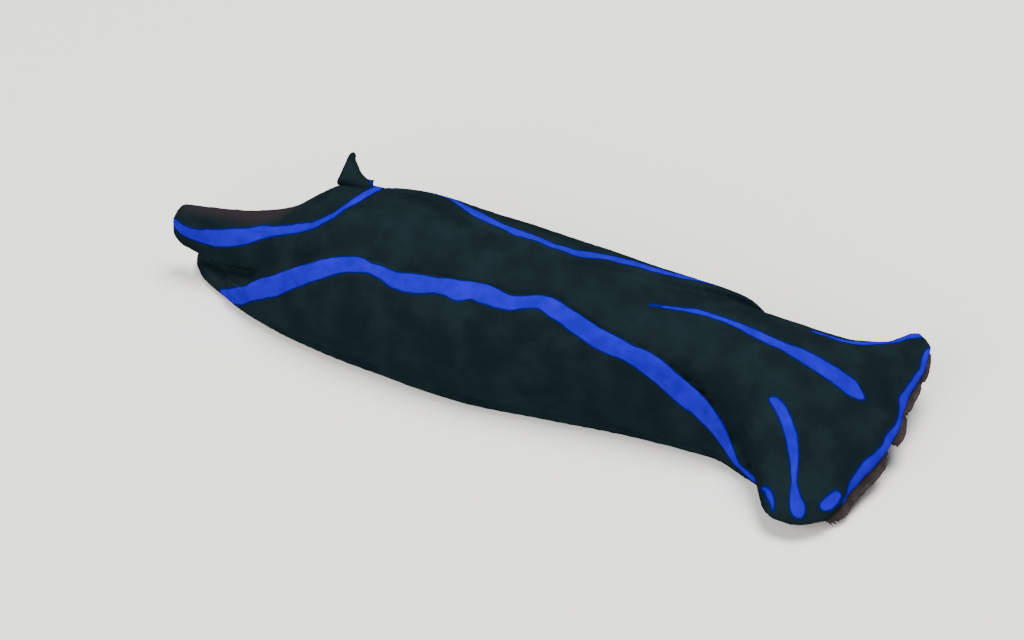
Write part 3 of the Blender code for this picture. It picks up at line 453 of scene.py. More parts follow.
def through(points, t):
    """Smooth curve through points of any number of values, t from 0 to 1 by their number."""
    points = np.array(points, float)
    knots = np.linspace(0, 1, len(points))
    return np.stack([profile(list(zip(knots, column)), t) for column in points.T], -1)


def swept(s, q):
    """Moves the corners of the head back."""
    most = np.where(q < 0, HEAD_SWEEP_RIGHT, HEAD_SWEEP_LEFT)
    return s - most * smooth_step(SWEEP_START_S, HEAD_FRONT_S, s) * (q / HEAD_HALF_WIDTH) ** 2


def shaped(s, q):
    """Moves the corners of the head back and hollows its front margin."""
    s = swept(s, q)
    return s + profile(FRONT_MARGIN, q) * smooth_step(FRONT_MARGIN_START_S, HEAD_FRONT_S, s)


def posed(points):
    """Body space to the model's own space: shapes the head and bends the body."""
    s, q, z = np.moveaxis(np.asarray(points, float), -1, 0)
    s = shaped(s, q)
    bend = profile(CENTRE_LINE, s + 0.5) - profile(CENTRE_LINE, s - 0.5)
    length = np.sqrt(1 + bend**2)
    x = s - bend / length * q + MIDDLE_SHIFT[0]
    y = profile(CENTRE_LINE, s) + q / length + MIDDLE_SHIFT[1]
    return np.stack([x, y, z], -1)


def arch(right_width, left_width, top, right_rim, left_rim, squareness, count):
    """Cross-section from the right rim over the top to the left rim, evenly spaced along itself."""
    a = np.linspace(0, np.pi, ARCH_POINTS)
    unit = -np.sign(np.cos(a)) * np.abs(np.cos(a)) ** (2 / squareness)
    q = unit * np.where(unit < 0, right_width, left_width)
    middle = (right_rim + left_rim) / 2
    rim = middle + (left_rim - right_rim) / 2 * unit
    z = rim + (top - middle) * np.abs(np.sin(a)) ** (2 / squareness)
    run = np.concatenate([[0], np.cumsum(np.hypot(np.diff(q), np.diff(z)))])
    even = np.linspace(0, run[-1], count)
    return np.stack([np.interp(even, run, q), np.interp(even, run, z)], -1)


def inset(curve, depth):
    """Moves an open (q, z) curve that runs from right rim to left rim inwards."""
    step = np.gradient(curve, axis=0)
    step /= np.linalg.norm(step, axis=1, keepdims=True) + TINY
    inward = np.stack([step[:, 1], -step[:, 0]], -1)
    return curve + inward * depth


def crown_curve(s, count, depth=0.0):
    """The back of the animal at s, or a depth below it."""
    parts = (CROWN_HALF_WIDTH_RIGHT, CROWN_HALF_WIDTH_LEFT, CROWN_HEIGHT, RIM_HEIGHT_RIGHT,
             RIM_HEIGHT_LEFT, CROWN_SQUARENESS)
    return inset(arch(*(profile(part, s) for part in parts), count), depth)


def crown_height(s, q):
    """Height of the back at one place."""
    curve = crown_curve(s, BACK_POINTS)
    top = np.argmax(curve[:, 1])
    low, high = 0, len(curve)
    if q < curve[top, 0]:
        high = top + 1
    else:
        low = top
    part = curve[low:high]
    rising = np.concatenate([[True], np.diff(part[:, 0]) > SAME_PLACE])
    return np.interp(q, part[rising, 0], part[rising, 1])


def flank_half(s, side):
    """The flank's outer line at s, from the ground up to the middle of the back."""
    width = profile(BODY_HALF_WIDTH_RIGHT if side < 0 else BODY_HALF_WIDTH_LEFT, s)
    height, squareness = profile(BODY_HEIGHT, s), profile(BODY_SQUARENESS, s)
    curve = arch(width, width, height, 0, 0, squareness, ARCH_POINTS)[:ARCH_POINTS // 2 + 1]
    run = np.concatenate([[0], np.cumsum(np.hypot(*np.diff(curve, axis=0).T))])
    return curve, run


def flank_curve(s, side, low, high, above, count):
    """The outer face of a side flap at s, from height low to high and a length above further on."""
    half, run = flank_half(s, side)
    start, end = np.interp([low, high], half[:, 1], run)
    even = np.linspace(start, end + above, count)
    q = np.interp(even, run, half[:, 0])
    z = np.interp(even, run, half[:, 1])
    return np.stack([-side * q, z], -1)


def grid_faces(rows, columns, first=0, wrap=False):
    """Quads of a grid of points numbered row by row."""
    faces = []
    for r in range(rows - 1):
        for c in range(columns if wrap else columns - 1):
            d = (c + 1) % columns
            faces.append((first + r * columns + c, first + r * columns + d,
                          first + (r + 1) * columns + d, first + (r + 1) * columns + c))
    return faces


def loft(sections):
    """Closed solid through closed sections."""
    rows, columns, _ = sections.shape
    points = sections.reshape(-1, 3)
    faces = grid_faces(rows, columns, wrap=True)
    ends = np.stack([sections[0].mean(0), sections[-1].mean(0)])
    for centre, row in ((len(points), 0), (len(points) + 1, rows - 1)):
        for c in range(columns):
            faces.append((row * columns + c, row * columns + (c + 1) % columns, centre))
    return np.vstack([points, ends]), faces


def rounded(distance, radius):
    """Share of full thickness at a distance from a free edge, as in a half-round edge."""
    x = np.clip(distance / radius, 0, 1)
    return np.sqrt(1 - (1 - x) ** 2)


def thick_sheet(outer, thickness, free):
    """Closed solid under a grid of outer-face points. Free says which borders thin to a rounded
    edge: first row, last row, first column, last column."""
    rows, columns, _ = outer.shape
    normal = np.cross(np.gradient(outer, axis=0), np.gradient(outer, axis=1))
    normal /= np.linalg.norm(normal, axis=-1, keepdims=True) + TINY
    row_run = np.zeros((rows, columns))
    row_run[1:] = np.cumsum(np.linalg.norm(np.diff(outer, axis=0), axis=-1), 0)
    column_run = np.zeros((rows, columns))
    column_run[:, 1:] = np.cumsum(np.linalg.norm(np.diff(outer, axis=1), axis=-1), 1)
    share = np.ones((rows, columns))
    distances = (row_run, row_run[-1:] - row_run, column_run, column_run[:, -1:] - column_run)
    for is_free, distance in zip(free, distances):
        if is_free:
            share = np.minimum(share, rounded(distance, FREE_EDGE))
    half = np.broadcast_to(thickness, (rows, columns)) / 2
    middle = outer - normal * half[..., None]
    top = middle + normal * (half * share)[..., None]
    bottom = middle - normal * (half * share)[..., None]
    points = np.vstack([top.reshape(-1, 3), bottom.reshape(-1, 3)])
    below = rows * columns
    faces = grid_faces(rows, columns)
    faces += [face[::-1] for face in grid_faces(rows, columns, below)]
    border = [(0, c) for c in range(columns)] + [(r, columns - 1) for r in range(1, rows)]
    border += [(rows - 1, c) for c in range(columns - 2, -1, -1)]
    border += [(r, 0) for r in range(rows - 2, 0, -1)]
    numbers = [r * columns + c for r, c in border]
    open_edge = np.linalg.norm(top - bottom, axis=-1).ravel() > SAME_PLACE
    for a, b in zip(numbers, numbers[1:] + numbers[:1]):
        if open_edge[a] or open_edge[b]:
            faces.append((b, a, a + below, b + below))
    return points, faces


def stations(start, end, count, ease=0.0):
    """Places along the body from start to end, closer together near both ends as ease goes to 1."""
    t = np.linspace(0, 1, count)
    eased = (1 - np.cos(t * np.pi)) / 2
    return start + (end - start) * (t * (1 - ease) + eased * ease)


def with_s(s, curve):
    """A (q, z) curve as points (s, q, z)."""
    return np.column_stack([np.full(len(curve), s), curve])


def foot():
    """The creeping sole: flat below, round-edged above."""
    sections = []
    for s in stations(FOOT_TAIL_S, FOOT_FRONT_S, SOLE_ROWS, EASE):
        halves = []
        for side, widths in ((-1, SOLE_HALF_WIDTH_RIGHT), (1, SOLE_HALF_WIDTH_LEFT)):
            w = profile(widths, s)
            edge = min(SOLE_EDGE, w * SOLE_EDGE_LIMIT)
            halves.append([(side * (w - edge * share), z) for share, z in SOLE_EDGE_SHAPE])
        sections.append(with_s(s, np.array(halves[0] + halves[1][::-1])))
    return loft(np.array(sections))


def stripe_height(s):
    """Height of the stripe on a flap at s, but not below the flap's base."""
    return max(profile(FLAP_STRIPE_HEIGHT, s), FLAP_BASE_Z)


def parapodium(side):
    """A side flap, from inside the sole's edge up to its free upper margin."""
    rows = []
    for s in stations(FLAP_TAIL_S, FLAP_FRONT_S, FLAP_ROWS, EASE):
        reach = profile(LEFT_FLAP_REACH, s) if side > 0 else 0
        above = profile(FLAP_MARGIN_ABOVE_STRIPE, s) + reach
        rows.append(with_s(s, flank_curve(s, side, BASE_Z, stripe_height(s), above, FLAP_COLUMNS)))
    outer = np.array(rows)
    up = np.linspace(0, 1, FLAP_COLUMNS)
    if side > 0:
        outer, up = outer[:, ::-1], up[::-1]
    thickness = FLAP_THICKNESS - FLAP_MARGIN_THINNING * smooth_step(FLAP_THINNING_START, 1, up)
    return thick_sheet(outer, thickness, (True, True, side > 0, side < 0))


def shield_thickness(s):
    """The head's front margin is thinner than the rest of the back."""
    thinning = smooth_step(*SHIELD_THINNING, s)
    return SHIELD_THICKNESS + (SHIELD_EDGE_THICKNESS - SHIELD_THICKNESS) * thinning


def crown():
    """Both shields of the back as one sheet from the roots of the tail lobes to the head's front."""
    places = stations(LOBE_ROOT_S, HEAD_FRONT_S, CROWN_ROWS, CROWN_EASE)
    outer = np.array([with_s(s, crown_curve(s, CROWN_COLUMNS)) for s in places])
    return thick_sheet(outer, shield_thickness(places)[:, None], (False, True, True, True))


def flap_top(s):
    """About the height of the right flap's upper margin at s."""
    return stripe_height(s) + FLAP_MARGIN_SHARE * profile(FLAP_MARGIN_ABOVE_STRIPE, s)


def core_section(s, right, top, left):
    """Closed section of the body's core at s from its right side, its top and its left side."""
    return with_s(s, np.vstack([right, top, left, [(0, BASE_Z)]]))


def trunk():
    """The body under the back, reaching into the flaps so that it fills the folds below them."""
    inside = FLAP_THICKNESS - OVERLAP
    sections = []
    for s in stations(LOBE_ROOT_S, TRUNK_FRONT_S, TRUNK_ROWS):
        line = crown_curve(s, TRUNK_POINTS, TRUNK_BELOW_BACK)
        line = line[line[:, 1] > TRUNK_SHOULDER_Z]
        even = np.linspace(0, len(line) - 1, CORE_COLUMNS)
        top = np.stack([np.interp(even, range(len(line)), line[:, k]) for k in (0, 1)], -1)
        if s > HEAD_ROOT_S:
            most = head_reach(SOLE_HALF_WIDTH_LEFT, CROWN_HALF_WIDTH_LEFT, s)
            top[:, 0] = np.minimum(top[:, 0], most)
        right_reach = inside - profile(BODY_HALF_WIDTH_RIGHT, s)
        left_reach = profile(BODY_HALF_WIDTH_LEFT, s) - inside
        ledge = min(TRUNK_LEDGE_Z, flap_top(s) + TRUNK_LEDGE_ABOVE_FLAP)
        right = [(right_reach, BASE_Z), (right_reach, ledge), (top[0, 0], ledge)]
        left = [(top[-1, 0], ledge), (left_reach, ledge), (left_reach, BASE_Z)]
        sections.append(core_section(s, right, top, left))
    return loft(np.array(sections))


def tail():
    """The low end of the body under the tail lobes, filled up to near the flaps' margins."""
    sections = []
    for s in stations(TRUNK_TAIL_S, LOBE_ROOT_S + TAIL_OVERLAP, TAIL_ROWS):
        w = profile(TRUNK_TAIL_HALF_WIDTH, s)
        ledge = min(flap_top(s) - TAIL_LEDGE_BELOW_FLAP, profile(TAIL_LEDGE_HEIGHT, s))
        height = max(profile(TRUNK_TAIL_HEIGHT, s), ledge + TAIL_RISE)
        top = arch(w, w, height, ledge, ledge, TAIL_SQUARENESS, CORE_COLUMNS)[1:-1]
        flank = -flank_curve(s, -1, 0, ledge, 0, 2)[-1][0]
        reach = max(w + TAIL_LEDGE_LEAST_WIDTH, flank - FLAP_THICKNESS + OVERLAP)
        right = [(-reach, BASE_Z), (-reach, ledge), (-w, ledge)]
        left = [(-q, z) for q, z in reversed(right)]
        sections.append(core_section(s, right, top, left))
    return loft(np.array(sections))


def head_reach(sole, crown_width, s):
    """How far the head reaches sideways: inside both the sole's and the shield's edge."""
    inside = profile(HEAD_SIDE_INSET, s)
    return min(profile(sole, s) - HEAD_INSIDE_SOLE, profile(crown_width, s) - inside)


def head():
    """The snout between the sole and the front of the head shield."""
    sections = []
    for s in stations(HEAD_ROOT_S, HEAD_FRONT_S - HEAD_BEHIND_FRONT, HEAD_ROWS):
        line = crown_curve(s, UNDERSIDE_POINTS, shield_thickness(s) - OVERLAP)
        right = head_reach(SOLE_HALF_WIDTH_RIGHT, CROWN_HALF_WIDTH_RIGHT, s)
        left = head_reach(SOLE_HALF_WIDTH_LEFT, CROWN_HALF_WIDTH_LEFT, s)
        line = line[(np.gradient(line[:, 0]) > HEAD_LEAST_STEP) & (line[:, 1] > SOLE_THICKNESS)]
        across = np.linspace(max(-right, line[0, 0]), min(left, line[-1, 0]), HEAD_COLUMNS)
        top = np.stack([across, np.interp(across, line[:, 0], line[:, 1])], -1)
        floor = [(q * HEAD_FLOOR_SHARE, BASE_Z) for q in (across[-1], 0, across[0])]
        sections.append(with_s(s, np.vstack([top, floor])))
    return loft(np.array(sections))


def lobe(inner, outer, tip):
    """A tail lobe: a blade between its two margins that rounds off into its tip."""
    t = np.linspace(0, 1, LOBE_ROWS)
    a, b = through(outer, t), through(inner, t)
    across = np.linspace(0, 1, LOBE_COLUMNS)[:, None]
    line = crown_curve(LOBE_ROOT_S, BACK_POINTS)
    start = np.argmin(np.abs(line[:, 0] - outer[0][1]) + np.abs(line[:, 1] - outer[0][2]))
    end = np.argmin(np.abs(line[:, 0] - inner[0][1]))
    picked = np.linspace(start, end, LOBE_COLUMNS).round().astype(int)
    root = with_s(LOBE_ROOT_S + OVERLAP, line[picked])
    root_rise = root - (root[0] + (root[-1] - root[0]) * across)
    a[0], b[0] = root[0], root[-1]
    side = -1 if inner[0][1] > outer[0][1] else 1
    grid = []
    for k in range(LOBE_ROWS):
        chord = b[k] - a[k]
        width = np.linalg.norm(chord)
        before, after = max(k - 1, 0), min(k + 1, LOBE_ROWS - 1)
        along = b[after] + a[after] - b[before] - a[before]
        out = np.cross(along, chord) * side
        out /= np.linalg.norm(out)
        rise = out * (np.sin(across * np.pi) * LOBE_BULGE * width)
        share = smooth_step(0, LOBE_ROOT_BLEND, t[k])
        grid.append(a[k] + chord * across + root_rise * (1 - share) + rise * share)
    last = grid[-1]
    middle = last.mean(0)
    for share in np.sin(np.linspace(0, LOBE_TIP_ANGLE, LOBE_TIP_ROWS))[1:]:
        grid.append(middle + (last - middle) * np.sqrt(1 - share**2) + (tip - middle) * share)
    outer_face = np.array(grid)
    if side < 0:
        outer_face = outer_face[:, ::-1]
    thinning = smooth_step(0, len(grid) - 1, np.arange(len(grid)))
    thickness = LOBE_ROOT_THICKNESS + (LOBE_TIP_THICKNESS - LOBE_ROOT_THICKNESS) * thinning
    return thick_sheet(outer_face, thickness[:, None], (False, True, True, True))


def ellipsoid(centre, radii):
    """Closed ellipsoid of body-space points."""
    sections = []
    turn = np.linspace(0, 2 * np.pi, ELLIPSOID_COLUMNS, endpoint=False)
    for a in np.linspace(POLE_ANGLE, np.pi - POLE_ANGLE, ELLIPSOID_RINGS):
        s = centre[0] + radii[0] * np.sin(a) * np.cos(turn)
        q = np.full(ELLIPSOID_COLUMNS, centre[1] - radii[1] * np.cos(a))
        z = centre[2] + radii[2] * np.sin(a) * np.sin(turn)
        sections.append(np.stack([s, q, z], -1))
    return loft(np.array(sections))


def solid(points, faces):
    """Object in body space, faces out."""
    mesh = bpy.data.meshes.new("solid")
    mesh.from_pydata(np.asarray(points).tolist(), [], faces)
    work = bmesh.new()
    work.from_mesh(mesh)
    bmesh.ops.remove_doubles(work, verts=work.verts, dist=WELD_DISTANCE)
    bmesh.ops.triangulate(work, faces=work.faces)
    bmesh.ops.recalc_face_normals(work, faces=work.faces)
    if work.calc_volume(signed=True) < 0:
        bmesh.ops.reverse_faces(work, faces=work.faces)
    work.to_mesh(mesh)
    work.free()
    made = bpy.data.objects.new("solid", mesh)
    bpy.context.scene.collection.objects.link(made)
    return made


def evaluated_copy(source):
    """The mesh of an object with its modifiers applied."""
    graph = bpy.context.evaluated_depsgraph_get()
    return bpy.data.meshes.new_from_object(source.evaluated_get(graph))


def cut(target, tool):
    """Takes the tool's shape out of the target and removes the tool."""
    step = target.modifiers.new("cut", "BOOLEAN")
    step.operation = "DIFFERENCE"
    step.object = tool
    step.solver = "EXACT"
    mesh = evaluated_copy(target)
    target.modifiers.remove(step)
    target.data = mesh
    bpy.data.objects.remove(tool)


def joined(name, solids):
    """One object with the meshes of all the solids, which are removed."""
    work = bmesh.new()
    for each in solids:
        work.from_mesh(each.data)
        bpy.data.objects.remove(each)
    mesh = bpy.data.meshes.new(name)
    work.to_mesh(mesh)
    work.free()
    made = bpy.data.objects.new(name, mesh)
    bpy.context.scene.collection.objects.link(made)
    return made


def melted(source, cell, smoothing):
    """Melts overlapping solids into one closed surface of even quads, a little smoothed."""
    remesh = source.modifiers.new("melt", "REMESH")
    remesh.mode = "VOXEL"
    remesh.voxel_size = cell
    remesh.adaptivity = 0
    smooth = source.modifiers.new("smooth", "SMOOTH")
    smooth.factor = SMOOTHING_FACTOR
    smooth.iterations = smoothing
    mesh = evaluated_copy(source)
    source.modifiers.clear()
    source.data = mesh
    work = bmesh.new()
    work.from_mesh(mesh)
    keep_largest(work)
    work.to_mesh(mesh)
    work.free()
    return source


def keep_largest(work):
    """Leaves only the largest connected surface."""
    left = set(work.faces)
    islands = []
    while left:
        first = left.pop()
        island, queue = [first], [first]
        while queue:
            for edge in queue.pop().edges:
                for face in edge.link_faces:
                    if face in left:
                        left.remove(face)
                        island.append(face)
                        queue.append(face)
        islands.append(island)
    islands.sort(key=len)
    extra = [face for island in islands[:-1] for face in island]
    bmesh.ops.delete(work, geom=extra, context="FACES")


def points_and_normals(mesh):
    """The places and the normals of the mesh's points."""
    found = []
    for what in ("co", "normal"):
        flat = np.empty(len(mesh.vertices) * 3)
        mesh.vertices.foreach_get(what, flat)
        found.append(flat.reshape(-1, 3))
    return found


def lumps(points, size, seed):
    """Smooth chance field from -1 to 1 with features of about that size."""
    table = np.random.default_rng(seed).uniform(-1, 1, (CHANCE_CELLS,) * 3)
    p = np.asarray(points) / size
    cell = np.floor(p).astype(int)
    f = p - cell
    f = f * f * (3 - 2 * f)
    total = np.zeros(len(p))
    for corner in np.ndindex(2, 2, 2):
        weight = np.prod(np.where(np.array(corner) == 1, f, 1 - f), axis=1)
        i, j, k = ((cell + corner) % CHANCE_CELLS).T
        total += weight * table[i, j, k]
    return total


def crown_line(points):
    """Points (s, q, half width) on the back with their heights filled in."""
    line = []
    for s, q, w in points:
        place_of = s
        for _ in range(SHAPING_ROUNDS):
            place_of += swept(s, q) - shaped(place_of, q)
        line.append((swept(s, q), q, crown_height(place_of, q), w))
    return line


def right_flap_line():
    """The line along the right flap's margin."""
    line = []
    for s, height, w in RIGHT_FLAP_LINE:
        q, z = flank_curve(s, -1, 0, height, 0, 2)[-1]
        line.append((s, q, z, w))
    return line


def left_flap_line():
    """The line along the left flap's margin, which reaches further over the back."""
    line = []
    for s in np.linspace(FLAP_TAIL_S, FLAP_FRONT_S, LEFT_LINE_POINTS):
        height = profile(FLAP_STRIPE_HEIGHT, s)
        q, z = flank_curve(s, 1, 0, height, profile(LEFT_LINE_REACH, s), 2)[-1]
        line.append((s, q, z, profile(LEFT_FLAP_LINE_HALF_WIDTH, s)))
    return line


def inside_line(points, line, slack=0.0):
    """How deep each point lies inside a line of varying width, in mm; below 0 is outside. Heights
    may differ by the slack."""
    count = max(len(line) * LINE_POINTS_PER_POINT, LINE_LEAST_POINTS)
    dense = through(line, np.linspace(0, 1, count))
    reach = dense[:, 3].max() + LINE_SURROUND
    low = dense[:, :3].min(0) - reach
    high = dense[:, :3].max(0) + reach
    near = np.flatnonzero(((points > low) & (points < high)).all(1))
    depth = np.full(len(points), -LINE_SURROUND)
    for chunk in np.array_split(near, max(1, len(near) // POINTS_AT_ONCE)):
        apart = points[chunk][:, None] - dense[None, :, :3]
        apart[..., 2] = np.maximum(np.abs(apart[..., 2]) - slack, 0)
        depth[chunk] = (dense[None, :, 3] - np.linalg.norm(apart, axis=-1)).max(1)
    return depth


def blue_depth(points):
    """How deep each point of the skin lies inside the blue lines."""
    on_head = (MEDIAN_LINE, RIGHT_LATERAL_LINE, LEFT_LATERAL_LINE, FRONT_LINE, FRONT_LINE_END,
               SIDE_PATCH)
    on_shaped = points.copy()
    on_shaped[:, 0] = shaped(points[:, 0], points[:, 1])
    depth = np.full(len(points), -LINE_SURROUND)
    for line in on_head:
        depth = np.maximum(depth, inside_line(on_shaped, crown_line(line), LINE_SLACK))
    for line in (right_flap_line(), left_flap_line(), RIGHT_LOBE_LINE, LEFT_LOBE_LINE):
        depth = np.maximum(depth, inside_line(points, line))
    return depth + sum(height * lumps(points, size, seed) for height, size, seed in LINE_WAVES)


def set_values(mesh, name, values):
    """Stores one value for each point of the mesh."""
    layer = mesh.attributes.new(name, "FLOAT", "POINT")
    layer.data.foreach_set("value", np.asarray(values, float))


def wrinkles(points):
    """Depth of the fine folds and grain of the skin, in mm."""
    along = points * FOLD_STRETCH
    folds = sum(share * lumps(along, size, seed) for share, size, seed in FOLDS)
    all_shares = sum(share for share, _, _ in FOLDS)
    grain = lumps(points, GRAIN_SIZE, GRAIN_SEED)
    return WRINKLE_DEPTH * folds / all_shares + GRAIN_DEPTH * grain


def make_skin():
    """One closed skin over foot, trunk, head, shields, flaps and tail lobes."""
    shapes = [foot(), trunk(), tail(), head(), crown(), parapodium(-1), parapodium(1),
              lobe(RIGHT_LOBE_INNER, RIGHT_LOBE_OUTER, RIGHT_LOBE_TIP),
              lobe(LEFT_LOBE_INNER, LEFT_LOBE_OUTER, LEFT_LOBE_TIP)]
    skin = melted(joined("skin", [solid(*shape) for shape in shapes]), SKIN_CELL, SKIN_SMOOTHING)
    points, normals = points_and_normals(skin.data)
    set_values(skin.data, "blue_depth", blue_depth(points))
    set_values(skin.data, "thin_depth", inside_line(points, THIN_RIM))
    depth = WRINKLE_DEPTH + GRAIN_DEPTH + wrinkles(points)
    depth *= smooth_step(0.0, WRINKLES_FULL_Z, points[:, 2])
    place(skin, points - normals * depth[:, None])
    return skin


def roughen(made, height, size, seed):
    """Gives a melted piece low lumps and poses it."""
    points, normals = points_and_normals(made.data)
    place(made, points + normals * (height * lumps(points, size, seed))[:, None])


def pad_edge(lobes, q):
    """Front edge of a pad at q: a row of rounded lobes with notches between them."""
    share = np.zeros_like(q)
    for low, high in lobes:
        x = np.minimum(np.abs(2 * (q - low) / (high - low) - 1), 1)
        share = np.maximum(share, (1 - x**PAD_LOBE_ROUNDNESS) ** (1 / PAD_LOBE_ROUNDNESS))
    return PAD_NOTCH_S + (PAD_FRONT_S - PAD_NOTCH_S) * share


def pad_height(s, q):
    """Top of a pad: close below the head shield, but with room for the pad above the ground."""
    line = crown_curve(s, UNDERSIDE_POINTS)
    line = line[np.gradient(line[:, 0]) > PAD_LEAST_STEP]
    below = np.interp(q, line[:, 0], line[:, 1]) - SHIELD_EDGE_THICKNESS - PAD_BELOW_SHIELD
    return np.maximum(below, PAD_THICKNESS + PAD_ABOVE_GROUND)


def bristle(root, direction, length):
    """A thin tapering bristle with its root sunk into the pad."""
    direction = np.array(direction) / np.linalg.norm(direction)
    side = np.cross(direction, (0, 0, 1))
    side /= np.linalg.norm(side)
    up = np.cross(side, direction)
    turn = np.linspace(0, 2 * np.pi, FINE_BRISTLE_SIDES, endpoint=False)[:, None]
    around = np.cos(turn) * side + np.sin(turn) * up
    rings = [(-FINE_BRISTLE_ROOT_DEPTH, 1.0)]
    rings += [(share * length, radius) for share, radius in FINE_BRISTLE_RINGS]
    return loft(np.array([
        np.array(root) + direction * reach + around * radius * FINE_BRISTLE_RADIUS
        for reach, radius in rings
    ]))


def pad(name, lobes, seed):
    """A thin pad under the head's front margin, notched into lobes, with bristles along its edge."""
    start, end = lobes[0][0], lobes[-1][1]
    q = np.linspace(start, end, int((end - start) / PAD_GRID_STEP))
    edge = pad_edge(lobes, q)
    grid = []
    for share in np.linspace(0, 1, PAD_ROWS):
        s = PAD_BACK_S + (edge - PAD_BACK_S) * share
        z = np.array([pad_height(*each) for each in zip(s, q)])
        grid.append(np.stack([s, q, z], -1))
    pieces = [solid(*thick_sheet(np.array(grid), PAD_THICKNESS, (False, True, True, True)))]
    draw = np.random.default_rng(seed).uniform
    first, last = start + FINE_BRISTLE_FROM_START, end - FINE_BRISTLE_FROM_END
    for side in np.arange(first, last, FINE_BRISTLE_SPACING):
        for layer in FINE_BRISTLE_LAYERS:
            at = side + draw(-FINE_BRISTLE_SHIFT, FINE_BRISTLE_SHIFT)
            front = pad_edge(lobes, np.array(at))
            height = pad_height(front, at) - PAD_THICKNESS * layer
            turn = draw(-FINE_BRISTLE_TURN, FINE_BRISTLE_TURN)
            droop = draw(*FINE_BRISTLE_DROOP) - FINE_BRISTLE_LAYER_DROOP * layer
            length = FINE_BRISTLE_LENGTH * draw(*FINE_BRISTLE_LENGTH_SHARE)
            root = (front - FINE_BRISTLE_BEHIND_EDGE, at, height)
            pieces.append(solid(*bristle(root, (1, turn, droop), length)))
    made = melted(joined(name, pieces), PAD_CELL, PAD_SMOOTHING)
    roughen(made, PAD_LUMP_HEIGHT, PAD_LUMP_SIZE, seed)
    return made


def lips():
    """The lips: a small swelling under the middle of the head's front, with the slit of the mouth."""
    body = solid(*ellipsoid(LIP_CENTRE, LIP_RADII))
    s, q, z = LIP_CENTRE
    cut(body, solid(*ellipsoid((s + LIP_RADII[0], q, z), MOUTH_SLIT_RADII)))
    made = melted(joined("lips", [body]), PAD_CELL, LIP_SMOOTHING)
    points, normals = points_and_normals(made.data)
    creases = np.sin(LIP_CREASES * np.arctan2(points[:, 2] - z, points[:, 1] - q))
    near = smooth_step(s, s + LIP_RADII[0], points[:, 0])
    depth = LIP_CREASE_DEPTH * creases * near - LIP_CREASE_DEPTH
    place(made, points + normals * depth[:, None])
    return made


def gill():
    """The gill plume: a stem with thin leaflets to both sides."""
    s, q, z = GILL_STEM_CENTRE
    pieces = [solid(*ellipsoid(GILL_STEM_CENTRE, np.array(GILL_STEM_RADII) * FINE_STEM_SHARE))]
    _, full_length, height = GILL_LEAFLET_RADII
    for share in np.linspace(0, 1, FINE_LEAFLETS):
        length = full_length * (1 - GILL_LEAFLET_SHRINK * share)
        along = GILL_STEM_RADII[0] * (FINE_LEAFLET_SPAN - 2 * FINE_LEAFLET_SPAN * share)
        radii = (FINE_LEAFLET_HALF_THICKNESS, length, height)
        pieces.append(solid(*ellipsoid((s + along, q, z + FINE_LEAFLET_RAISE), radii)))
    made = melted(joined("gill", pieces), PAD_CELL, GILL_SMOOTHING)
    roughen(made, GILL_LUMP_HEIGHT, GILL_LUMP_SIZE, GILL_LUMP_SEED)
    return made


def place(source, points):
    """Poses body-space points and stores them as the object's mesh, in metres, inside the box of the
    solids."""
    points = posed(points) * MM
    points[:, 2] = np.maximum(points[:, 2], 0)
    points = np.clip(points, np.array(cad_box[0]), np.array(cad_box[1]))
    source.data.vertices.foreach_set("co", points.ravel())
    source.data.update()
    source.data.shade_smooth()


def node(tree, kind, **values):
    """A new shader node with some of its properties set."""
    made = tree.nodes.new(kind)
    for name, value in values.items():
        setattr(made, name, value)
    return made


def blank_material(name):
    """A new material, its nodes and its shader."""
    material = bpy.data.materials.new(name)
    material.use_nodes = True
    return material, material.node_tree, material.node_tree.nodes["Principled BSDF"]


def ramp(tree, source, low, high):
    """0 below low, 1 above high, smooth between."""
    step = node(tree, "ShaderNodeMapRange", interpolation_type="SMOOTHSTEP")
    step.inputs["From Min"].default_value = low
    step.inputs["From Max"].default_value = high
    tree.links.new(source, step.inputs["Value"])
    return step.outputs["Result"]


def blend(tree, share, first, second):
    """Mix of two colours, each a tuple or a socket."""
    mix = node(tree, "ShaderNodeMix", data_type="RGBA")
    sockets = [each for each in mix.inputs if each.type == "RGBA"]
    for socket, value in zip(sockets, (first, second)):
        if isinstance(value, tuple):
            socket.default_value = (*value, 1)
        else:
            tree.links.new(value, socket)
    tree.links.new(share, mix.inputs["Factor"])
    return [each for each in mix.outputs if each.type == "RGBA"][0]


def chance(tree, size_mm):
    """Noise from 0 to 1 with features of about that size, fixed to the model."""
    place_of = node(tree, "ShaderNodeTexCoord")
    noise = node(tree, "ShaderNodeTexNoise")
    noise.inputs["Scale"].default_value = 1 / (size_mm * MM)
    noise.inputs["Detail"].default_value = NOISE_DETAIL
    tree.links.new(place_of.outputs["Object"], noise.inputs["Vector"])
    return noise.outputs["Fac"]


def mottled(tree, size_mm, fade, first, second):
    """Two colours in soft spots of about that size."""
    return blend(tree, ramp(tree, chance(tree, size_mm), *fade), first, second)


def stored(tree, name):
    """A value stored with the mesh's points."""
    return node(tree, "ShaderNodeAttribute", attribute_name=name).outputs["Fac"]


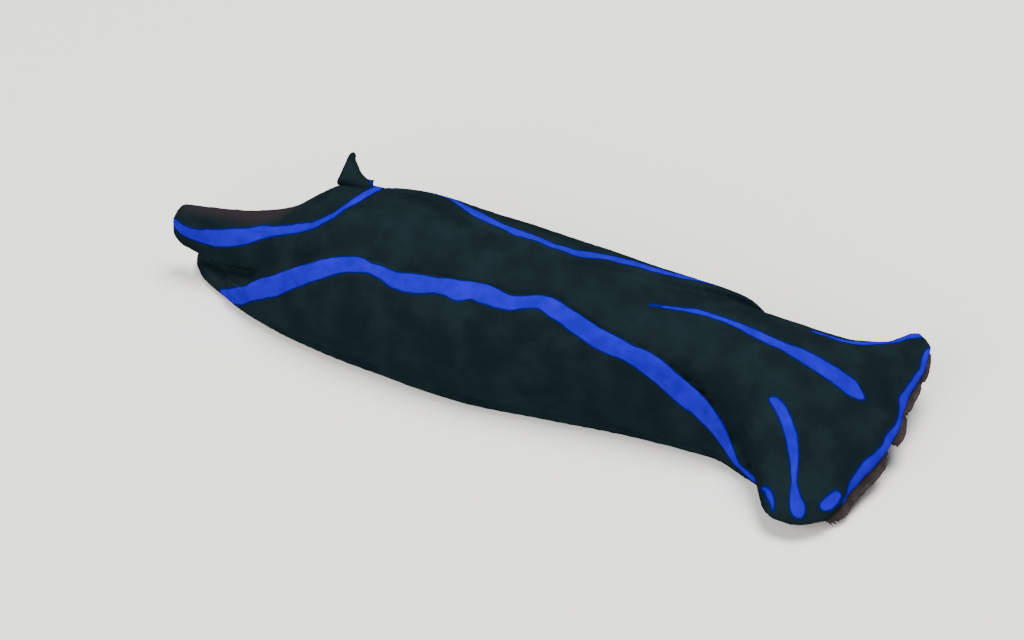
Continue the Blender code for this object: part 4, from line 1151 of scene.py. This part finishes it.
def velvet():
    """Black velvet skin with blue lines."""
    material, tree, shader = blank_material("velvet_skin")
    depth = stored(tree, "blue_depth")
    dark = mottled(tree, BLACK_MOTTLE_SIZE, BLACK_FADE, BLACK_DEEP, BLACK_PALE)
    dark = blend(tree, ramp(tree, stored(tree, "thin_depth"), *THIN_FADE), dark, THIN_COLOUR)
    blue = mottled(tree, BLUE_MOTTLE_SIZE, BLUE_FADE, BLUE_DEEP, BLUE_PALE)
    edge = blend(tree, ramp(tree, depth, *BLUE_EDGE_FADE), dark, BLUE_EDGE)
    colour = blend(tree, ramp(tree, depth, *BLUE_LINE_FADE), edge, blue)
    tree.links.new(colour, shader.inputs["Base Color"])
    shader.inputs["Roughness"].default_value = VELVET_ROUGHNESS
    shader.inputs["Specular IOR Level"].default_value = VELVET_GLOSS
    return material


def plain(name, colour, roughness):
    """Skin of one colour, mottled with a deeper shade of it."""
    material, tree, shader = blank_material(name)
    deep = tuple(PLAIN_DEEP_SHARE * part for part in colour)
    mixed = mottled(tree, PLAIN_MOTTLE_SIZE, PLAIN_FADE, deep, colour)
    tree.links.new(mixed, shader.inputs["Base Color"])
    shader.inputs["Roughness"].default_value = roughness
    shader.inputs["Specular IOR Level"].default_value = PLAIN_GLOSS
    return material


def dress(source, material, slot, *nodes):
    """Gives a finished piece its material and its place on the body, and hides the solids' parts that
    it stands for.
    """
    source.data.materials.clear()
    source.data.materials.append(material)
    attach(source, "root")
    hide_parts(*nodes)


def area_light(name, where, power, width):
    """A round white light that shines at the middle of the model."""
    light = bpy.data.lights.new(name, "AREA")
    light.shape = "DISK"
    light.energy = power
    light.size = width
    made = bpy.data.objects.new(name, light)
    made.location = where
    made.rotation_euler = Vector(where).to_track_quat("Z", "Y").to_euler()
    bpy.context.scene.collection.objects.link(made)


def surroundings():
    """Pale floor and soft light."""
    floor_mesh = bpy.data.meshes.new("floor")
    size = FLOOR_HALF_SIZE
    corners = [(-size, -size, 0), (size, -size, 0), (size, size, 0), (-size, size, 0)]
    floor_mesh.from_pydata(corners, [], [(0, 1, 2, 3)])
    floor = bpy.data.objects.new("floor", floor_mesh)
    floor.location.z = -FLOOR_DROP
    bpy.context.scene.collection.objects.link(floor)
    material, _, shader = blank_material("floor")
    shader.inputs["Base Color"].default_value = FLOOR_COLOUR
    shader.inputs["Roughness"].default_value = FLOOR_ROUGHNESS
    floor_mesh.materials.append(material)
    for light in LIGHTS:
        area_light(*light)
    world = bpy.data.worlds.new("soft light")
    world.use_nodes = True
    sky = world.node_tree.nodes["Background"]
    sky.inputs["Color"].default_value = SKY_COLOUR
    sky.inputs["Strength"].default_value = SKY_STRENGTH
    bpy.context.scene.world = world


def photo_camera():
    """Camera at the photo's viewing angle and distance."""
    turn, rise = np.radians(CAMERA_TURN), np.radians(CAMERA_RISE)
    back = Vector((np.sin(turn) * np.cos(rise), -np.cos(turn) * np.cos(rise), np.sin(rise)))
    aim = Vector((CAMERA_AIM[0] + MIDDLE_SHIFT[0], CAMERA_AIM[1] + MIDDLE_SHIFT[1], 0)) * MM
    data = bpy.data.cameras.new("camera")
    data.sensor_width = CAMERA_SENSOR
    data.lens = CAMERA_LENS
    data.clip_start = CAMERA_CLIP
    made = bpy.data.objects.new("camera", data)
    made.location = aim + back * CAMERA_DISTANCE
    made.rotation_euler = back.to_track_quat("Z", "Y").to_euler()
    bpy.context.scene.collection.objects.link(made)
    bpy.context.scene.camera = made


def main():
    """Makes the pieces, then the floor, the light and the camera."""
    dress(make_skin(), velvet(), "velvet_skin", *FLESH)
    brown = plain("pad_skin", PAD_COLOUR, PAD_ROUGHNESS)
    dress(pad("pad_right", RIGHT_PAD_LOBES, RIGHT_PAD_SEED), brown, "pad_skin", "sensory_pad_right")
    dress(pad("pad_left", LEFT_PAD_LOBES, LEFT_PAD_SEED), brown, "pad_skin", "sensory_pad_left")
    dress(lips(), plain("lip_skin", LIP_COLOUR, LIP_ROUGHNESS), "pad_skin", "lips")
    dress(gill(), plain("gill_skin", GILL_COLOUR, GILL_ROUGHNESS), "gill_skin", "gill")
    surroundings()
    photo_camera()


main()
